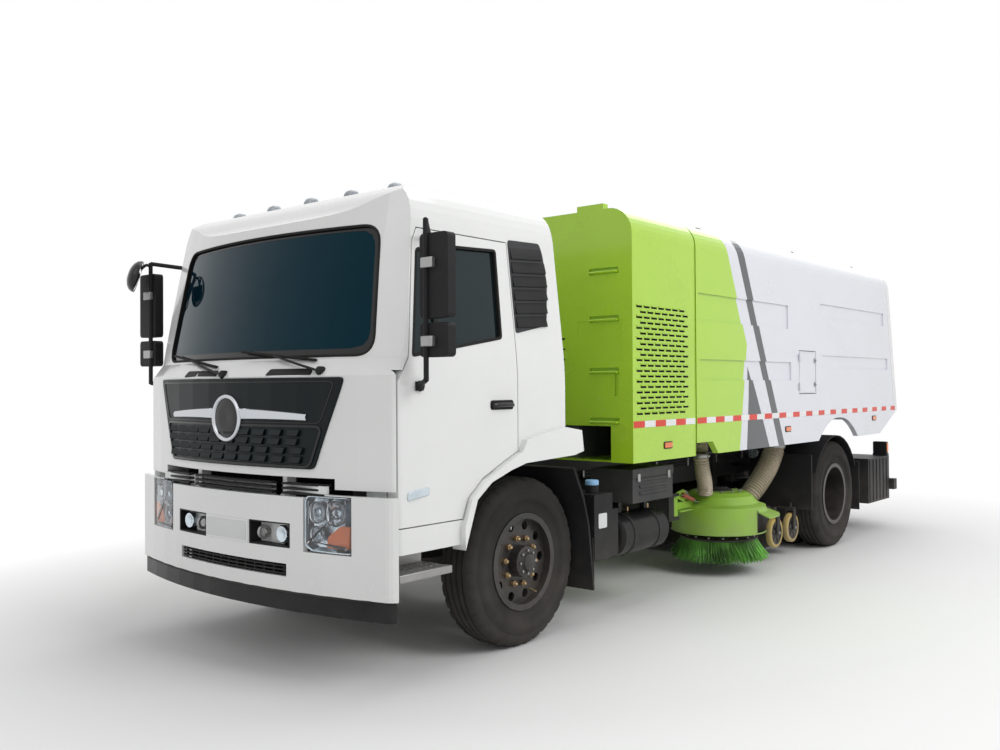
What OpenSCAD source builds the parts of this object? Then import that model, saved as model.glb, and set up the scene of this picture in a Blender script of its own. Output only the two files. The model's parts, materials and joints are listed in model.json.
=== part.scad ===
// Street sweeper truck: a forward-control tilt cab on a two-axle chassis, with a fan housing,
// a tipping hopper, two side brushes and a suction nozzle.
// X points to the truck's left, Y to its rear, Z up. Y is 0 at mid-length, Z is 0 on the ground.

/* [Layout] */
// Distance between the axles
wheelbase = 4800; // [4200:50:5600]
// From the front bumper to the front axle
front_overhang = 1420; // [1380:10:1500]
// From the rear axle to the rearmost point
rear_overhang = 1980; // [1900:10:2300]

/* [Chassis] */
// Width over the frame rails
frame_w = 860; // [780:10:900]
// Height of a frame rail
rail_h = 280; // [220:10:300]
// Width of a frame rail's flange
rail_w = 80; // [60:5:90]
// Height of the rails' upper face
rail_top = 1000; // [980:5:1010]
// Height of the sweeper's subframe on the rails
subframe_h = 70; // [50:5:90]

/* [Wheels] */
// Tyre outer diameter
tyre_d = 1044; // [1000:2:1060]
// Tyre section width
tyre_w = 285; // [260:5:300]
// Rim seat diameter
rim_d = 572; // [540:2:600]
// Rim width between the flanges
rim_w = 228; // [200:2:240]
// Front track, between the tyre centres
front_track = 1916; // [1880:4:1960]
// Rear track, between the middles of the twin wheels
rear_track = 1868; // [1840:4:1880]
// Spacing of the twin wheels
twin_spacing = 320; // [310:2:330]
// Kingpin centre, from the middle of the truck
kingpin_x = 850; // [830:5:870]

/* [Cab] */
// Width of the cab
cab_w = 2380; // [2300:10:2460]
// Height of the cab roof
cab_roof = 2780; // [2700:10:2900]
// Rear wall of the cab, from the front axle
cab_rear = 290; // [200:10:400]
// Cab wall and door thickness
cab_wall = 45; // [30:5:60]
// Height of the cab floor's underside
cab_floor = 1120; // [1100:5:1150]
// Height of the windscreen's lower edge
screen_base = 1765; // [1700:5:1850]
// Height of the windscreen's upper edge
screen_top = 2515; // [2400:5:2550]

/* [Sweeper body] */
// Width of the fan housing and the hopper
body_w = 2524; // [2440:4:2550]
// Height of the body's roof
body_roof = 2860; // [2700:10:2950]
// Underside of the body's side panels
body_floor = 1072; // [1072:2:1100]
// Radius of the roof's long edges
roof_r = 190; // [120:10:240]
// Front face of the fan housing, from the front axle
housing_front = 985; // [960:5:1100]
// Length of the fan housing
housing_len = 890; // [820:10:910]
// Gap between the fan housing and the hopper
body_gap = 20; // [12:2:40]
// Hopper wall thickness
hopper_wall = 50; // [30:5:70]
// Radius of the hopper's wheel arch
arch_r = 760; // [720:10:790]

/* [Tipping] */
// Hopper hinge, behind the rear axle
tip_behind_axle = 1350; // [1250:10:1400]
// Hopper hinge height
tip_z = 1025; // [1000:5:1045]
// Hopper hinge pin diameter
tip_pin_d = 60; // [40:2:70]

/* [Sweeping gear] */
// Brush diameter at the bristle tips
brush_d = 830; // [700:10:860]
// Brush centre, from the middle of the truck
brush_x = 890; // [860:5:920]
// Brush centre, behind the front axle
brush_y = 2960; // [2860:10:3000]
// Bristle tips above the ground
brush_clear = 75; // [40:5:150]
// Nozzle width
nozzle_w = 1900; // [1700:20:1960]
// Castor wheel diameter
castor_d = 280; // [220:5:300]
// Castor wheels above the ground with the nozzle raised
castor_clear = 120; // [100:5:160]

/* [Hidden] */
$fn = 64;

overall_length = front_overhang + wheelbase + rear_overhang;
front_axle_y = front_overhang - overall_length / 2;
tyre_r = tyre_d / 2;
rim_r = rim_d / 2;
seat_gap = 0.3;     // between pieces that rest on or turn in each other
panel_gap = 6;      // round doors and lids
through = 1;        // how far a cut runs past a face

/* Helpers. All pieces are drawn with Y measured from the front axle. */
module at_front_axle() translate([0, front_axle_y, 0]) children();
module both_sides() {
    children();
    mirror([1, 0, 0]) children();
}
module box(lo, hi) translate(lo) cube(hi - lo);
module side_prism(points, x0, x1) translate([x0, 0, 0]) rotate([90, 0, 90]) linear_extrude(x1 - x0)
    polygon(points);
module front_prism(points, y0, y1) translate([0, y1, 0]) rotate([90, 0, 0]) linear_extrude(y1 - y0)
    polygon(points);
module plan_prism(points, z0, z1) translate([0, 0, z0]) linear_extrude(z1 - z0) polygon(points);
module x_cyl(x0, x1, y, z, d) translate([x0, y, z]) rotate([0, 90, 0]) cylinder(h = x1 - x0, d = d);
module y_cyl(y0, y1, x, z, d) translate([x, y0, z]) rotate([-90, 0, 0]) cylinder(h = y1 - y0, d = d);
module z_cyl(z0, z1, x, y, d) translate([x, y, z0]) cylinder(h = z1 - z0, d = d);
module bar(p, q, d) {
    v = q - p;
    translate(p) rotate([0, acos(v[2] / norm(v)), atan2(v[1], v[0])]) cylinder(h = norm(v), d = d);
}
// A solid of revolution about the X axis; the profile's first number runs along X.
module turned_x(profile) rotate([90, 0, 90]) rotate_extrude($fn = 96) polygon([for (p = profile) [p[1],
    p[0]]]);
function unit(v) = v / norm(v);
function arc(c, r, a0, a1, n) = [for (i = [0:n]) let (a = a0 + (a1 - a0) * i / n) c + r * [cos(a), sin(a)]];
// Moves each edge of a counter-clockwise outline outwards.
function outset(p, g) = let (n = len(p)) [for (i = [0:n - 1])
    let (u = unit(p[i] - p[(i + n - 1) % n]), v = unit(p[(i + 1) % n] - p[i]),
         nu = [u[1], -u[0]], nv = [v[1], -v[0]]) p[i] + g * (nu + nv) / (1 + nu * nv)];
// Points on a smooth bend from a to b that leans towards c.
function bend(a, c, b, n = 6) = [for (i = [0:n]) let (t = i / n) (1 - t) * (1 - t) * a + 2 * t * (1 - t)
    * c + t * t * b];
// Rounds each corner of an outline, starting a distance r from it.
function softened(p, r, n = 5) = let (m = len(p)) [for (i = [0:m - 1]) each
    bend(p[i] + r * unit(p[(i + m - 1) % m] - p[i]), p[i], p[i] + r * unit(p[(i + 1) % m] - p[i]), n)];
function mirrored(p) = concat(p, [for (i = [len(p) - 1:-1:0]) [-p[i][0], p[i][1]]]);

/* Chassis */
rail_out = frame_w / 2;
rail_in = rail_out - rail_w;
rail_web = rail_out - 10;
rail_low = rail_top - rail_h;
rail_front = 180 - front_overhang;
tip_y = wheelbase + tip_behind_axle;
rail_rear = tip_y + 150;
subframe_top = rail_top + subframe_h;
subframe_front = housing_front - 30;
cab_pivot_y = 105 - front_overhang;
cab_pivot_z = 980;
cab_pin_d = 40;
cab_pin_out = rail_out + 20;
cab_ear_in = rail_out - 30;
cross_ys = [rail_front + 40, 850, 2050, 3350, 4250, rail_rear - 90];
cross_h = 150;

module chassis_frame() at_front_axle() color([0.1, 0.1, 0.11]) {
    both_sides() {
        difference() {
            box([rail_in, rail_front, rail_low], [rail_out, rail_rear, rail_top]);
            box([rail_in - through, rail_front - through, rail_low + 10],
                [rail_web, rail_rear + through, rail_top - 10]);
        }
        box([rail_in, subframe_front, rail_top], [rail_out, rail_rear, subframe_top]);
        x_cyl(rail_web + 2, rail_out + 75, tip_y, tip_z, tip_pin_d);
        box([rail_in, cab_pivot_y - 40, cab_pivot_z - 60],
            [rail_in + 28, rail_front + 5, cab_pivot_z + 20]);
        x_cyl(rail_in + 27, cab_pin_out, cab_pivot_y, cab_pivot_z, cab_pin_d);
        brush_lug();
    }
    // hangers that hold the hoses' upper ends
    both_sides() {
        hose_hanger(left_hose_route[0], brush_hose_d);
        hose_hanger(nozzle_hose_route[0], nozzle_hose_d);
    }
    for (y = cross_ys)
        box([-rail_web, y, rail_low + 40], [rail_web, y + 90, rail_low + 40 + cross_h]);
    ram_anchor();
}

hanger_z = 1046;
module hose_hanger(p, d) difference() {
    box([rail_out - 1, p[1] - d / 2 - 25, hanger_z], [p[0] + d / 2 + 25, p[1] + d / 2 + 25, hanger_z + 12]);
    z_cyl(hanger_z - through, hanger_z + 13, p[0], p[1], d + 2 * seat_gap);
}

// Tipping rams: their feet hang from a crossmember, their eyes meet the hopper's ears.
ram_x = 190;
ram_foot = [tip_y - 250, 640];
ram_eye = [tip_y - 1050, 1195];
ram_d = 110;
ram_rod_d = 70;
ram_foot_pin_d = 40;
ram_foot_w = 50;

module ram_anchor() {
    difference() {
        box([-rail_web, ram_foot[0] + 70, rail_low - 120], [rail_web, ram_foot[0] + 150, rail_low + 120]);
        box([-rail_in + 60, ram_foot[0] + 60, rail_low - 20],
            [rail_in - 60, ram_foot[0] + 160, rail_low + 40]);
    }
    both_sides() for (x = [ram_x - ram_foot_w / 2 - 25, ram_x + ram_foot_w / 2 + 5])
        box([x, ram_foot[0] - 40, ram_foot[1] - 40], [x + 20, ram_foot[0] + 71, ram_foot[1] + 40]);
    both_sides() x_cyl(ram_x - ram_foot_w / 2 - 6, ram_x + ram_foot_w / 2 + 6,
        ram_foot[0], ram_foot[1], ram_foot_pin_d);
}

// Brush carrier lugs, one under each rail, with the swing pin.
brush_pivot_x = 800;
brush_pivot_y = brush_y - 630;
brush_pivot_z = 610;
brush_pin_d = 40;
brush_boss_h = 160;

module brush_lug() {
    box([rail_in, brush_pivot_y - 140, rail_low - 130], [rail_out, brush_pivot_y - 40, rail_low + 1]);
    box([rail_out - 1, brush_pivot_y - 140, rail_low - 130],
        [brush_pivot_x + 45, brush_pivot_y - 60, rail_low - 50]);
    for (z = [brush_pivot_z - brush_boss_h / 2 - 30, brush_pivot_z + brush_boss_h / 2 + 5])
        box([brush_pivot_x - 45, brush_pivot_y - 61, z], [brush_pivot_x + 45, brush_pivot_y + 30, z + 25]);
    box([brush_pivot_x - 45, brush_pivot_y - 140, brush_pivot_z - brush_boss_h / 2 - 30],
        [brush_pivot_x + 45, brush_pivot_y - 60, brush_pivot_z + brush_boss_h / 2 + 30]);
    z_cyl(brush_pivot_z - brush_boss_h / 2 - 10, brush_pivot_z + brush_boss_h / 2 + 10,
        brush_pivot_x, brush_pivot_y, brush_pin_d);
}

/* Axles, springs and steering */
beam_low = 390;
beam_top = 490;
kingpin_d = 50;
eye_d = 110;
eye_low = tyre_r - 90;
eye_top = tyre_r + 90;
spring_x = rail_out - 40;
spring_w = 70;
rear_beam_d = 170;
spindle_d = 120;
rear_hub_end = rear_track / 2 + 110;
front_wheel_x = front_track / 2;
twin_x = rear_track / 2;

module front_axle() at_front_axle() color([0.12, 0.12, 0.13]) {
    box([-kingpin_x + 130, -45, beam_low], [kingpin_x - 130, 45, beam_top]);
    both_sides() {
        box([kingpin_x - 140, -40, beam_low + 50], [kingpin_x - 30, 40, eye_top - 20]);
        difference() {
            z_cyl(eye_low, eye_top, kingpin_x, 0, eye_d);
            z_cyl(eye_low - through, eye_top + through, kingpin_x, 0, kingpin_d + 2 * seat_gap);
        }
    }
}

module rear_axle() at_front_axle() translate([0, wheelbase, 0]) color([0.12, 0.12, 0.13]) {
    x_cyl(-twin_x + 260, twin_x - 260, 0, tyre_r, rear_beam_d);
    both_sides() x_cyl(twin_x - 261, rear_hub_end - 20, 0, tyre_r, spindle_d);
    y_cyl(-190, 170, 0, tyre_r, 430);
    y_cyl(-380, -189, 0, tyre_r + 30, 180);
}

// A bundle of leaves curving up from the axle seat to its two eyes.
module leaf_pack(half, seat, lift, thick) {
    function leaf_z(y) = seat + lift * pow(y / half, 2);
    steps = 8;
    ys = [for (i = [-steps:steps]) half * i / steps];
    side_prism(concat([for (y = ys) [y, leaf_z(y)]],
        [for (i = [len(ys) - 1:-1:0]) [ys[i], leaf_z(ys[i]) + thick * (1 - 0.6 * abs(ys[i]) / half)]]),
        spring_x - spring_w / 2, spring_x + spring_w / 2);
    for (s = [-1, 1])
        box([spring_x - spring_w / 2, s * half - 30, seat + lift - 20],
            [spring_x + spring_w / 2, s * half + 30, rail_low]);
}

module leaf_springs() at_front_axle() color([0.13, 0.13, 0.14]) both_sides() {
    leaf_pack(640, beam_top, 90, 60);
    translate([0, wheelbase, 0]) {
        leaf_pack(620, tyre_r + rear_beam_d / 2, 55, 50);
    }
}

knuckle_h = 26;
arm_ball = [kingpin_x, 170, 408];

module knuckle() {
    z_cyl(eye_low - knuckle_h - 4, eye_top + knuckle_h + 4, kingpin_x, 0, kingpin_d);
    for (z = [eye_low - knuckle_h - 5, eye_top + 5])
        box([kingpin_x - 50, -50, z], [kingpin_x + 80, 50, z + knuckle_h]);
    box([kingpin_x + eye_d / 2 + 6, -50, eye_low - knuckle_h - 5],
        [kingpin_x + 85, 50, eye_top + 5 + knuckle_h]);
    x_cyl(kingpin_x + 84, front_wheel_x + 120, 0, tyre_r, 90);
    difference() {
        hull() {
            translate([kingpin_x, 30, eye_low - knuckle_h - 5]) cylinder(h = 24, d = 60, $fn = 24);
            translate([arm_ball[0], arm_ball[1], arm_ball[2] - 4]) cylinder(h = 24, d = 56, $fn = 24);
        }
        z_cyl(arm_ball[2] - 20, arm_ball[2] + 40, arm_ball[0], arm_ball[1], 30 + 2 * seat_gap);
    }
}
module left_knuckle() at_front_axle() color([0.14, 0.14, 0.15]) knuckle();
module right_knuckle() at_front_axle() color([0.14, 0.14, 0.15]) mirror([1, 0, 0]) knuckle();

module tie_rod() at_front_axle() color([0.14, 0.14, 0.15]) {
    rod_z = arm_ball[2] - 34;
    x_cyl(-arm_ball[0], arm_ball[0], arm_ball[1], rod_z, 40);
    both_sides() {
        z_cyl(rod_z - 22, rod_z + 24, arm_ball[0], arm_ball[1], 50);
        z_cyl(rod_z, arm_ball[2] + 30, arm_ball[0], arm_ball[1], 30);
    }
}

/* Wheels */
bead = rim_w / 2;
flange_t = 12;
sidewall = tyre_w / 2;
tyre_half = concat([[bead, rim_r], [bead, rim_r + 16]],
    arc([sidewall - 62, rim_r + 124], 62, -48, 40, 8),
    [[tyre_w * 0.42, tyre_r - 22], [tyre_w * 0.37, tyre_r - 7], [tyre_w * 0.26, tyre_r]]);
tyre_profile = concat(tyre_half, [for (i = [len(tyre_half) - 1:-1:0]) [-tyre_half[i][0], tyre_half[i][1]]]);
hand_holes = 10;

module tyre_at(x, y) translate([x, y, tyre_r]) turned_x(tyre_profile);
// Rim barrel with its flanges; x is the middle of the tyre.
module rim_barrel(x) translate([x, 0, 0]) turned_x([[-bead - flange_t, rim_r - 22],
    [bead + flange_t, rim_r - 22],
    [bead + flange_t, rim_r + 14], [bead, rim_r + 14], [bead, rim_r], [-bead, rim_r], [-bead, rim_r + 14],
    [-bead - flange_t, rim_r + 14]]);
// Wheel disc between two planes, with its ring of hand holes and its hub bore.
module rim_disc(x0, x1, bore) difference() {
    x_cyl(x0, x1, 0, 0, rim_d - 40);
    x_cyl(x0 - through, x1 + through, 0, 0, bore);
    for (i = [0:hand_holes - 1]) rotate([(i + 0.5) * 360 / hand_holes, 0, 0])
        x_cyl(x0 - through, x1 + through, 0, rim_r - 62, 58);
}

module front_rim(side) {
    bore = 90 + 2 * seat_gap;
    translate([0, 0, tyre_r]) {
        rim_barrel(side * front_wheel_x);
        rim_disc_low = front_wheel_x + 55;
        mirror([side < 0 ? 1 : 0, 0, 0]) {
            rim_disc(rim_disc_low, rim_disc_low + 16, bore);
            difference() {
                union() {
                    x_cyl(front_wheel_x - 20, rim_disc_low + 1, 0, 0, 330);
                    x_cyl(rim_disc_low, front_wheel_x + 140, 0, 0, 190);
                }
                x_cyl(front_wheel_x - 60, front_wheel_x + 125, 0, 0, bore);
            }
        }
    }
}

module rear_rims(side) translate([0, wheelbase, tyre_r]) mirror([side < 0 ? 1 : 0, 0, 0]) {
    bore = spindle_d + 2 * seat_gap;
    for (s = [-1, 1]) rim_barrel(twin_x + s * twin_spacing / 2);
    translate([twin_x, 0, 0]) turned_x([[-60, rim_r - 42], [60, rim_r - 42], [60, rim_r - 20],
        [-60, rim_r - 20]]);
    rim_disc(twin_x - 18, twin_x + 18, bore);
    difference() {
        union() {
            x_cyl(twin_x - 190, twin_x - 17, 0, 0, 400);
            x_cyl(twin_x + 17, rear_hub_end, 0, 0, 260);
        }
        x_cyl(twin_x - 200, rear_hub_end - 15, 0, 0, bore);
    }
}

module twin_tyres(side) for (s = [-1, 1]) tyre_at(side * twin_x + s * twin_spacing / 2, wheelbase);

module left_front_tyre() at_front_axle() color([0.16, 0.15, 0.15]) tyre_at(front_wheel_x, 0);
module right_front_tyre() at_front_axle() color([0.16, 0.15, 0.15]) tyre_at(-front_wheel_x, 0);
module left_rear_tyres() at_front_axle() color([0.16, 0.15, 0.15]) twin_tyres(1);
module right_rear_tyres() at_front_axle() color([0.16, 0.15, 0.15]) twin_tyres(-1);
module left_front_rim() at_front_axle() color([0.08, 0.08, 0.09]) front_rim(1);
module right_front_rim() at_front_axle() color([0.08, 0.08, 0.09]) front_rim(-1);
module left_rear_rims() at_front_axle() color([0.08, 0.08, 0.09]) rear_rims(1);
module right_rear_rims() at_front_axle() color([0.08, 0.08, 0.09]) rear_rims(-1);

/* Engines: plain blocks for the heavy masses */
module engines() at_front_axle() color([0.3, 0.3, 0.32]) {
    box([-rail_in + 30, -820, 580], [rail_in - 30, 480, 1050]);
    box([-rail_in + 80, 479, 620], [rail_in - 80, 800, 940]);
    both_sides() for (y = [-700, 300]) box([rail_in - 31, y, 800], [rail_web, y + 90, 880]);
    box([-700, housing_front + 160, subframe_top + 12], [700, housing_front + housing_len - 150, 1900]);
}

/* Front end */
front_y = -front_overhang;
bumper_half = cab_w / 2 + 45;
bumper_corner = 100;
bumper_sweep = 4200;
bumper_end = front_y + 205;
plan_r = 3400;       // sweep of the cab's front
corner_r = 60;
bumper_top = 1036;
slot_top = 1015;
slot_half = 790;
bumper_low = 498;
valance_low = 388;
intake = [515, 575, 645];   // half-width, lower edge, upper edge
recess = [211, 543, 732, 868];
lamp = [640, 962, 722, 1030];

// Half of a bulged front outline, from the middle to the side, at a depth behind its foremost line.
function front_curve(half, r, back, sweep) = let (c = half - r, a = 17)
    concat([for (i = [0:6]) let (x = (c + r * sin(a)) * i / 6) [x, back + x * x / (2 * sweep)]],
        [for (k = [1:6]) let (g = a + (90 - a) * k / 6, y0 = back + pow(c + r * sin(a), 2) / (2 * sweep))
            [c + r * sin(g), y0 + r * (cos(a) - cos(g))]]);
function plan_outline(half, r, back, rear, sweep = plan_r) =
    let (f = concat(front_curve(half, r, back, sweep), [[half, rear]]))
    concat([for (i = [len(f) - 1:-1:1]) [-f[i][0], f[i][1]]], f);

// The bumper's outer skin, moved inwards by an inset, without its open back.
module bumper_skin(inset, z0, z1)
    plan_prism(plan_outline(bumper_half - inset, bumper_corner, front_y + inset, -800, bumper_sweep), z0,
        z1);
module bumper_band(inset, wall, z0, z1) difference() {
    bumper_skin(inset, z0, z1);
    bumper_skin(inset + wall, z0 - through, z1 + through);
    box([-1300, bumper_end, z0 - through], [1300, 0, z1 + through]);
}

module front_bumper() at_front_axle() {
    color([0.95, 0.95, 0.94]) difference() {
        bumper_band(0, 30, bumper_low, bumper_top);
        box([-slot_half, front_y - through, slot_top], [slot_half, front_y + 200, bumper_top + through]);
        box([-intake[0], front_y - through, intake[1]], [intake[0], front_y + 200, intake[2]]);
        both_sides() {
            box([recess[0], front_y - through, recess[2]], [recess[1], front_y + 200, recess[3]]);
            box([lamp[0] - seat_gap, front_y - through, lamp[2] - seat_gap],
                [lamp[1] + seat_gap, 0, lamp[3] + seat_gap]);
        }
    }
    color([0.06, 0.06, 0.07]) bumper_band(12, 28, valance_low, bumper_low + 5);
    color([0.1, 0.1, 0.11]) {
        box([-rail_in, front_y + 85, 660], [rail_in, front_y + 125, 900]);
        // panel behind the upper slot, split where the cab's hinge ears pass
        box([-rail_in + 5, cab_pivot_y - 22, 899], [rail_in - 5, cab_pivot_y - 8, 1080]);
        both_sides() {
            box([rail_out + 20, front_y + 85, 1037], [slot_half, cab_pivot_y, 1080]);
            box([rail_out + 20, front_y + 85, 840], [rail_out + 70, cab_pivot_y, 1080]);
            box([rail_out - 1, front_y + 85, 800], [rail_out + 70, front_y + 125, 850]);
        }
        both_sides() {
            box([rail_in, front_y + 85, 660], [rail_out, rail_front, 850]);
            for (z = [690, 890]) box([90, front_y + 28, z], [170, front_y + 86, z + 20]);
        }
    }
}

module lamps() at_front_axle() {
    both_sides() color([0.85, 0.87, 0.9]) intersection() {
        bumper_band(4, 60, lamp[2], lamp[3]);
        box([lamp[0], front_y, lamp[2]], [lamp[1], 0, lamp[3]]);
    }
    both_sides() color([0.7, 0.1, 0.05]) box([1010, tail_y - 60, tail_z], [1150, tail_y - 1, tail_z + 130]);
}

module front_mudguards() at_front_axle() color([0.07, 0.07, 0.08]) both_sides() {
    side_prism([[600, 262], [616, 262], [560, 700], [505, 880], [400, 1085], [384, 1075], [488, 870],
        [545, 695]],
        rail_out + 110, 1185);
    box([rail_out, 470, 820], [rail_out + 111, 500, 860]);
}

module entry_steps() at_front_axle() color([0.55, 0.56, 0.57]) both_sides() {
    box([960, -1190, 600], [1200, -790, 626]);
    box([930, -1190, 600], [961, -790, 700]);
    box([rail_out, -1100, 640], [931, -1060, 690]);
    box([rail_out, -1100, 690], [rail_out + 60, -1060, 760]);
}

/* Tanks and boxes between the axles */
module urea_tank() at_front_axle() color([0.07, 0.07, 0.08]) {
    box([940, 640, 438], [1170, 860, 880]);
    box([960, 860, 438], [1150, 960, 760]);
    z_cyl(879, 936, 1080, 745, 90);
    box([rail_out, 660, 840], [941, 700, 880]);
}
module air_tanks() at_front_axle() color([0.08, 0.09, 0.1]) {
    y_cyl(1050, 1640, 1010, 545, 300);
    both_sides() for (y = [1150, 1500]) {
        box([990, y, 694], [1030, y + 40, 740]);
        box([rail_out, y, 730], [1031, y + 40, 770]);
    }
    y_cyl(1050, 1640, -1010, 545, 300);
}
module battery_box() at_front_axle() color([0.16, 0.16, 0.17]) {
    box([820, 1120, 775], [1170, 1680, 1012]);
    box([rail_out, 1250, 830], [821, 1310, 890]);
    box([rail_out, 1500, 830], [821, 1560, 890]);
}
module fuel_tank() at_front_axle() color([0.75, 0.77, 0.78]) {
    tank = [480, 620];      // width and height
    front_prism([for (p = concat(arc([-640, 990 - 70], 70, 0, 90, 6), arc([-1050, 990 - 70],
        70, 90, 180, 6),
        arc([-1050, 780 + 70], 70, 180, 270, 6), arc([-640, 780 + 70], 70, 270, 360, 6))) p], 1050, 1700);
    for (y = [1150, 1560]) box([-571, y, 840], [-rail_out, y + 50, 900]);
}
module silencer() at_front_axle() color([0.45, 0.44, 0.43]) {
    y_cyl(640, 980, -900, 660, 420);
    box([-800, 720, 760], [-rail_out, 780, 820]);
    y_cyl(979, 1030, -900, 560, 100);
}

/* Sweeper body */
housing_rear = housing_front + housing_len;
body_half = body_w / 2;
function body_section(t, low) = let (h = body_half - t, r = max(roof_r - t, 20))
    mirrored(concat([[h, low]], arc([h - r, body_roof - t - r], r, 0, 90, 8)));
front_sill = 1326;

module fan_housing() at_front_axle() color([0.62, 0.86, 0.08]) {
    difference() {
        front_prism(body_section(0, body_floor), housing_front, housing_rear);
        front_prism(body_section(40, body_floor - through), housing_front + 40, housing_rear - 40);
        box([-1080, housing_front - through, body_floor - through], [1080, housing_front + 41, front_sill]);
        // ladder rungs, vertical slot and pressed panel on the front face
        for (z = [1362, 1714, 2081, 2420])
            box([905, housing_front - through, z - 22], [1150, housing_front + 18, z + 22]);
        box([1112, housing_front - through, 1538], [1138, housing_front + 18, 1734]);
        both_sides() box([796, housing_front - through, 1775], [1175, housing_front + 3, 2071]);
    }
    // floor plate across the subframe
    box([-body_half + 39, housing_front + 39, subframe_top],
        [body_half - 39, housing_rear - 39, subframe_top + 12]);
    both_sides() box([803, housing_front, body_roof], [1027, housing_front + 60, body_roof + 40]);
}

hopper_front = housing_rear + body_gap;
hopper_rear_top = wheelbase + 1520;
hopper_rear_low = wheelbase + 1818;
hopper_slope_low = wheelbase + 1234;
hopper_floor = 1300;
door_t = 90;
rear_edge_z = 1324;
function hopper_side(t) = [[hopper_front, 1170], [2149, 1170], [2245, body_floor],
    [hopper_slope_low, body_floor], [hopper_rear_low - door_t, rear_edge_z - 40],
    [hopper_rear_top - door_t, body_roof], [hopper_front, body_roof]];
bearer_rear = tip_y - 60;

module hopper() at_front_axle() color([0.93, 0.93, 0.95]) {
    difference() {
        intersection() {
            side_prism(hopper_side(0), -body_half, body_half);
            front_prism(body_section(0, body_floor - 10), hopper_front - through, hopper_rear_low + 100);
        }
        // load space, open at the rear
        intersection() {
            side_prism([[hopper_front + hopper_wall, hopper_floor], [hopper_rear_low, hopper_floor],
                [hopper_rear_low + 200, body_roof], [hopper_front + hopper_wall, body_roof]],
                    -body_half, body_half);
            front_prism(body_section(hopper_wall, hopper_floor), hopper_front, hopper_rear_low + 300);
        }
        // underside between the skirts
        box([-body_half + hopper_wall, hopper_front - through, body_floor - 20],
            [body_half - hopper_wall, hopper_rear_low + 100, hopper_floor - 50]);
        x_cyl(-body_half - through, body_half + through, wheelbase + 30, tyre_r, 2 * arch_r);
        // pressed bands and hatch opening
        both_sides() for (band = bands)
            box([body_half - 14, band[0], band[2]], [body_half + through, band[1], band[3]]);
        side_prism(outset(hatch_outline, panel_gap), body_half - hopper_wall - through,
            body_half + through);
    }
    // wheel arch liners, bearers and hinge ears
    both_sides() {
        box([rail_in, hopper_front + 60, subframe_top + seat_gap],
            [rail_out, bearer_rear, hopper_floor - 50]);
        difference() {
            union() {
                x_cyl(rail_out + 8, rail_out + 38, tip_y, tip_z, 110);
                box([rail_out + 8, tip_y - 55, tip_z], [rail_out + 38, tip_y + 55, hopper_floor - 50]);
            }
            x_cyl(rail_out, rail_out + 50, tip_y, tip_z, tip_pin_d + 2 * seat_gap);
        }
        for (x = [ram_x - 60, ram_x + 35])
            box([x, ram_eye[0] - 60, ram_eye[1] - 50], [x + 25, ram_eye[0] + 60, hopper_floor - 50]);
        for (x = [490, 715]) {
            box([x, hopper_rear_top - door_t - 120, body_roof - 1],
                [x + 25, hopper_rear_top - door_t - 10, door_hinge[1] + 20]);
            box([x, hopper_rear_top - door_t - 20, body_roof + 8],
                [x + 25, door_hinge[0] + 20, door_hinge[1] + 20]);
        }
        x_cyl(door_ear_x[0] - 10, 515, door_hinge[0], door_hinge[1], 30);
        x_cyl(715, door_ear_x[1] + 70, door_hinge[0], door_hinge[1], 30);
    }
    for (z = hatch_hinge_z) {
        z_cyl(z - 9, z + 59, hatch_pivot[0], hatch_pivot[1], 10);
        for (dz = [-9, 51]) box([body_half - 5, hatch_pivot[1] - 12, z + dz],
            [hatch_pivot[0] + 5, hatch_pivot[1] + 5, z + dz + 8]);
    }
}

bands = [[1931, 3611, 2110, 2320], [1951, 3666, 1650, 1810], [4360, 6180, 2250, 2385],
    [4398, 6300, 1767, 1890]];
hatch_outline = [[3847, 1528], [4240, 1528], [4240, 1918], [3847, 1918]];

hatch_t = 17;
hatch_pivot = [body_half + 11, hatch_outline[0][0] - 9];
hatch_hinge_z = [1565, 1830];
module side_hatch() at_front_axle() color([0.93, 0.93, 0.95]) {
    side_prism(hatch_outline, body_half - 1 - hatch_t, body_half - 1);
    for (z = hatch_hinge_z) {
        difference() {
            z_cyl(z, z + 50, hatch_pivot[0], hatch_pivot[1], 20);
            z_cyl(z - through, z + 51, hatch_pivot[0], hatch_pivot[1], 10 + 2 * seat_gap);
        }
        box([hatch_pivot[0] - 9, hatch_pivot[1] + 8, z], [hatch_pivot[0] - 4, hatch_pivot[1] + 70, z + 50]);
        box([body_half - 2, hatch_pivot[1] + 12, z], [hatch_pivot[0] - 4, hatch_pivot[1] + 70, z + 50]);
    }
}

duct_front = hopper_front + 30;
duct_rear = 5560;
duct_half = 520;
duct_h = 170;
module roof_duct() at_front_axle() color([0.95, 0.95, 0.96]) intersection() {
    side_prism([[duct_front, body_roof], [duct_rear, body_roof], [duct_rear - 150, body_roof + duct_h],
        [duct_front + 420, body_roof + duct_h], [duct_front, body_roof + duct_h - 70]],
            -duct_half, duct_half);
    front_prism([[-duct_half, body_roof], [duct_half, body_roof], [duct_half - 90, body_roof + duct_h],
        [-duct_half + 90, body_roof + duct_h]], duct_front, duct_rear);
}

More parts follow.
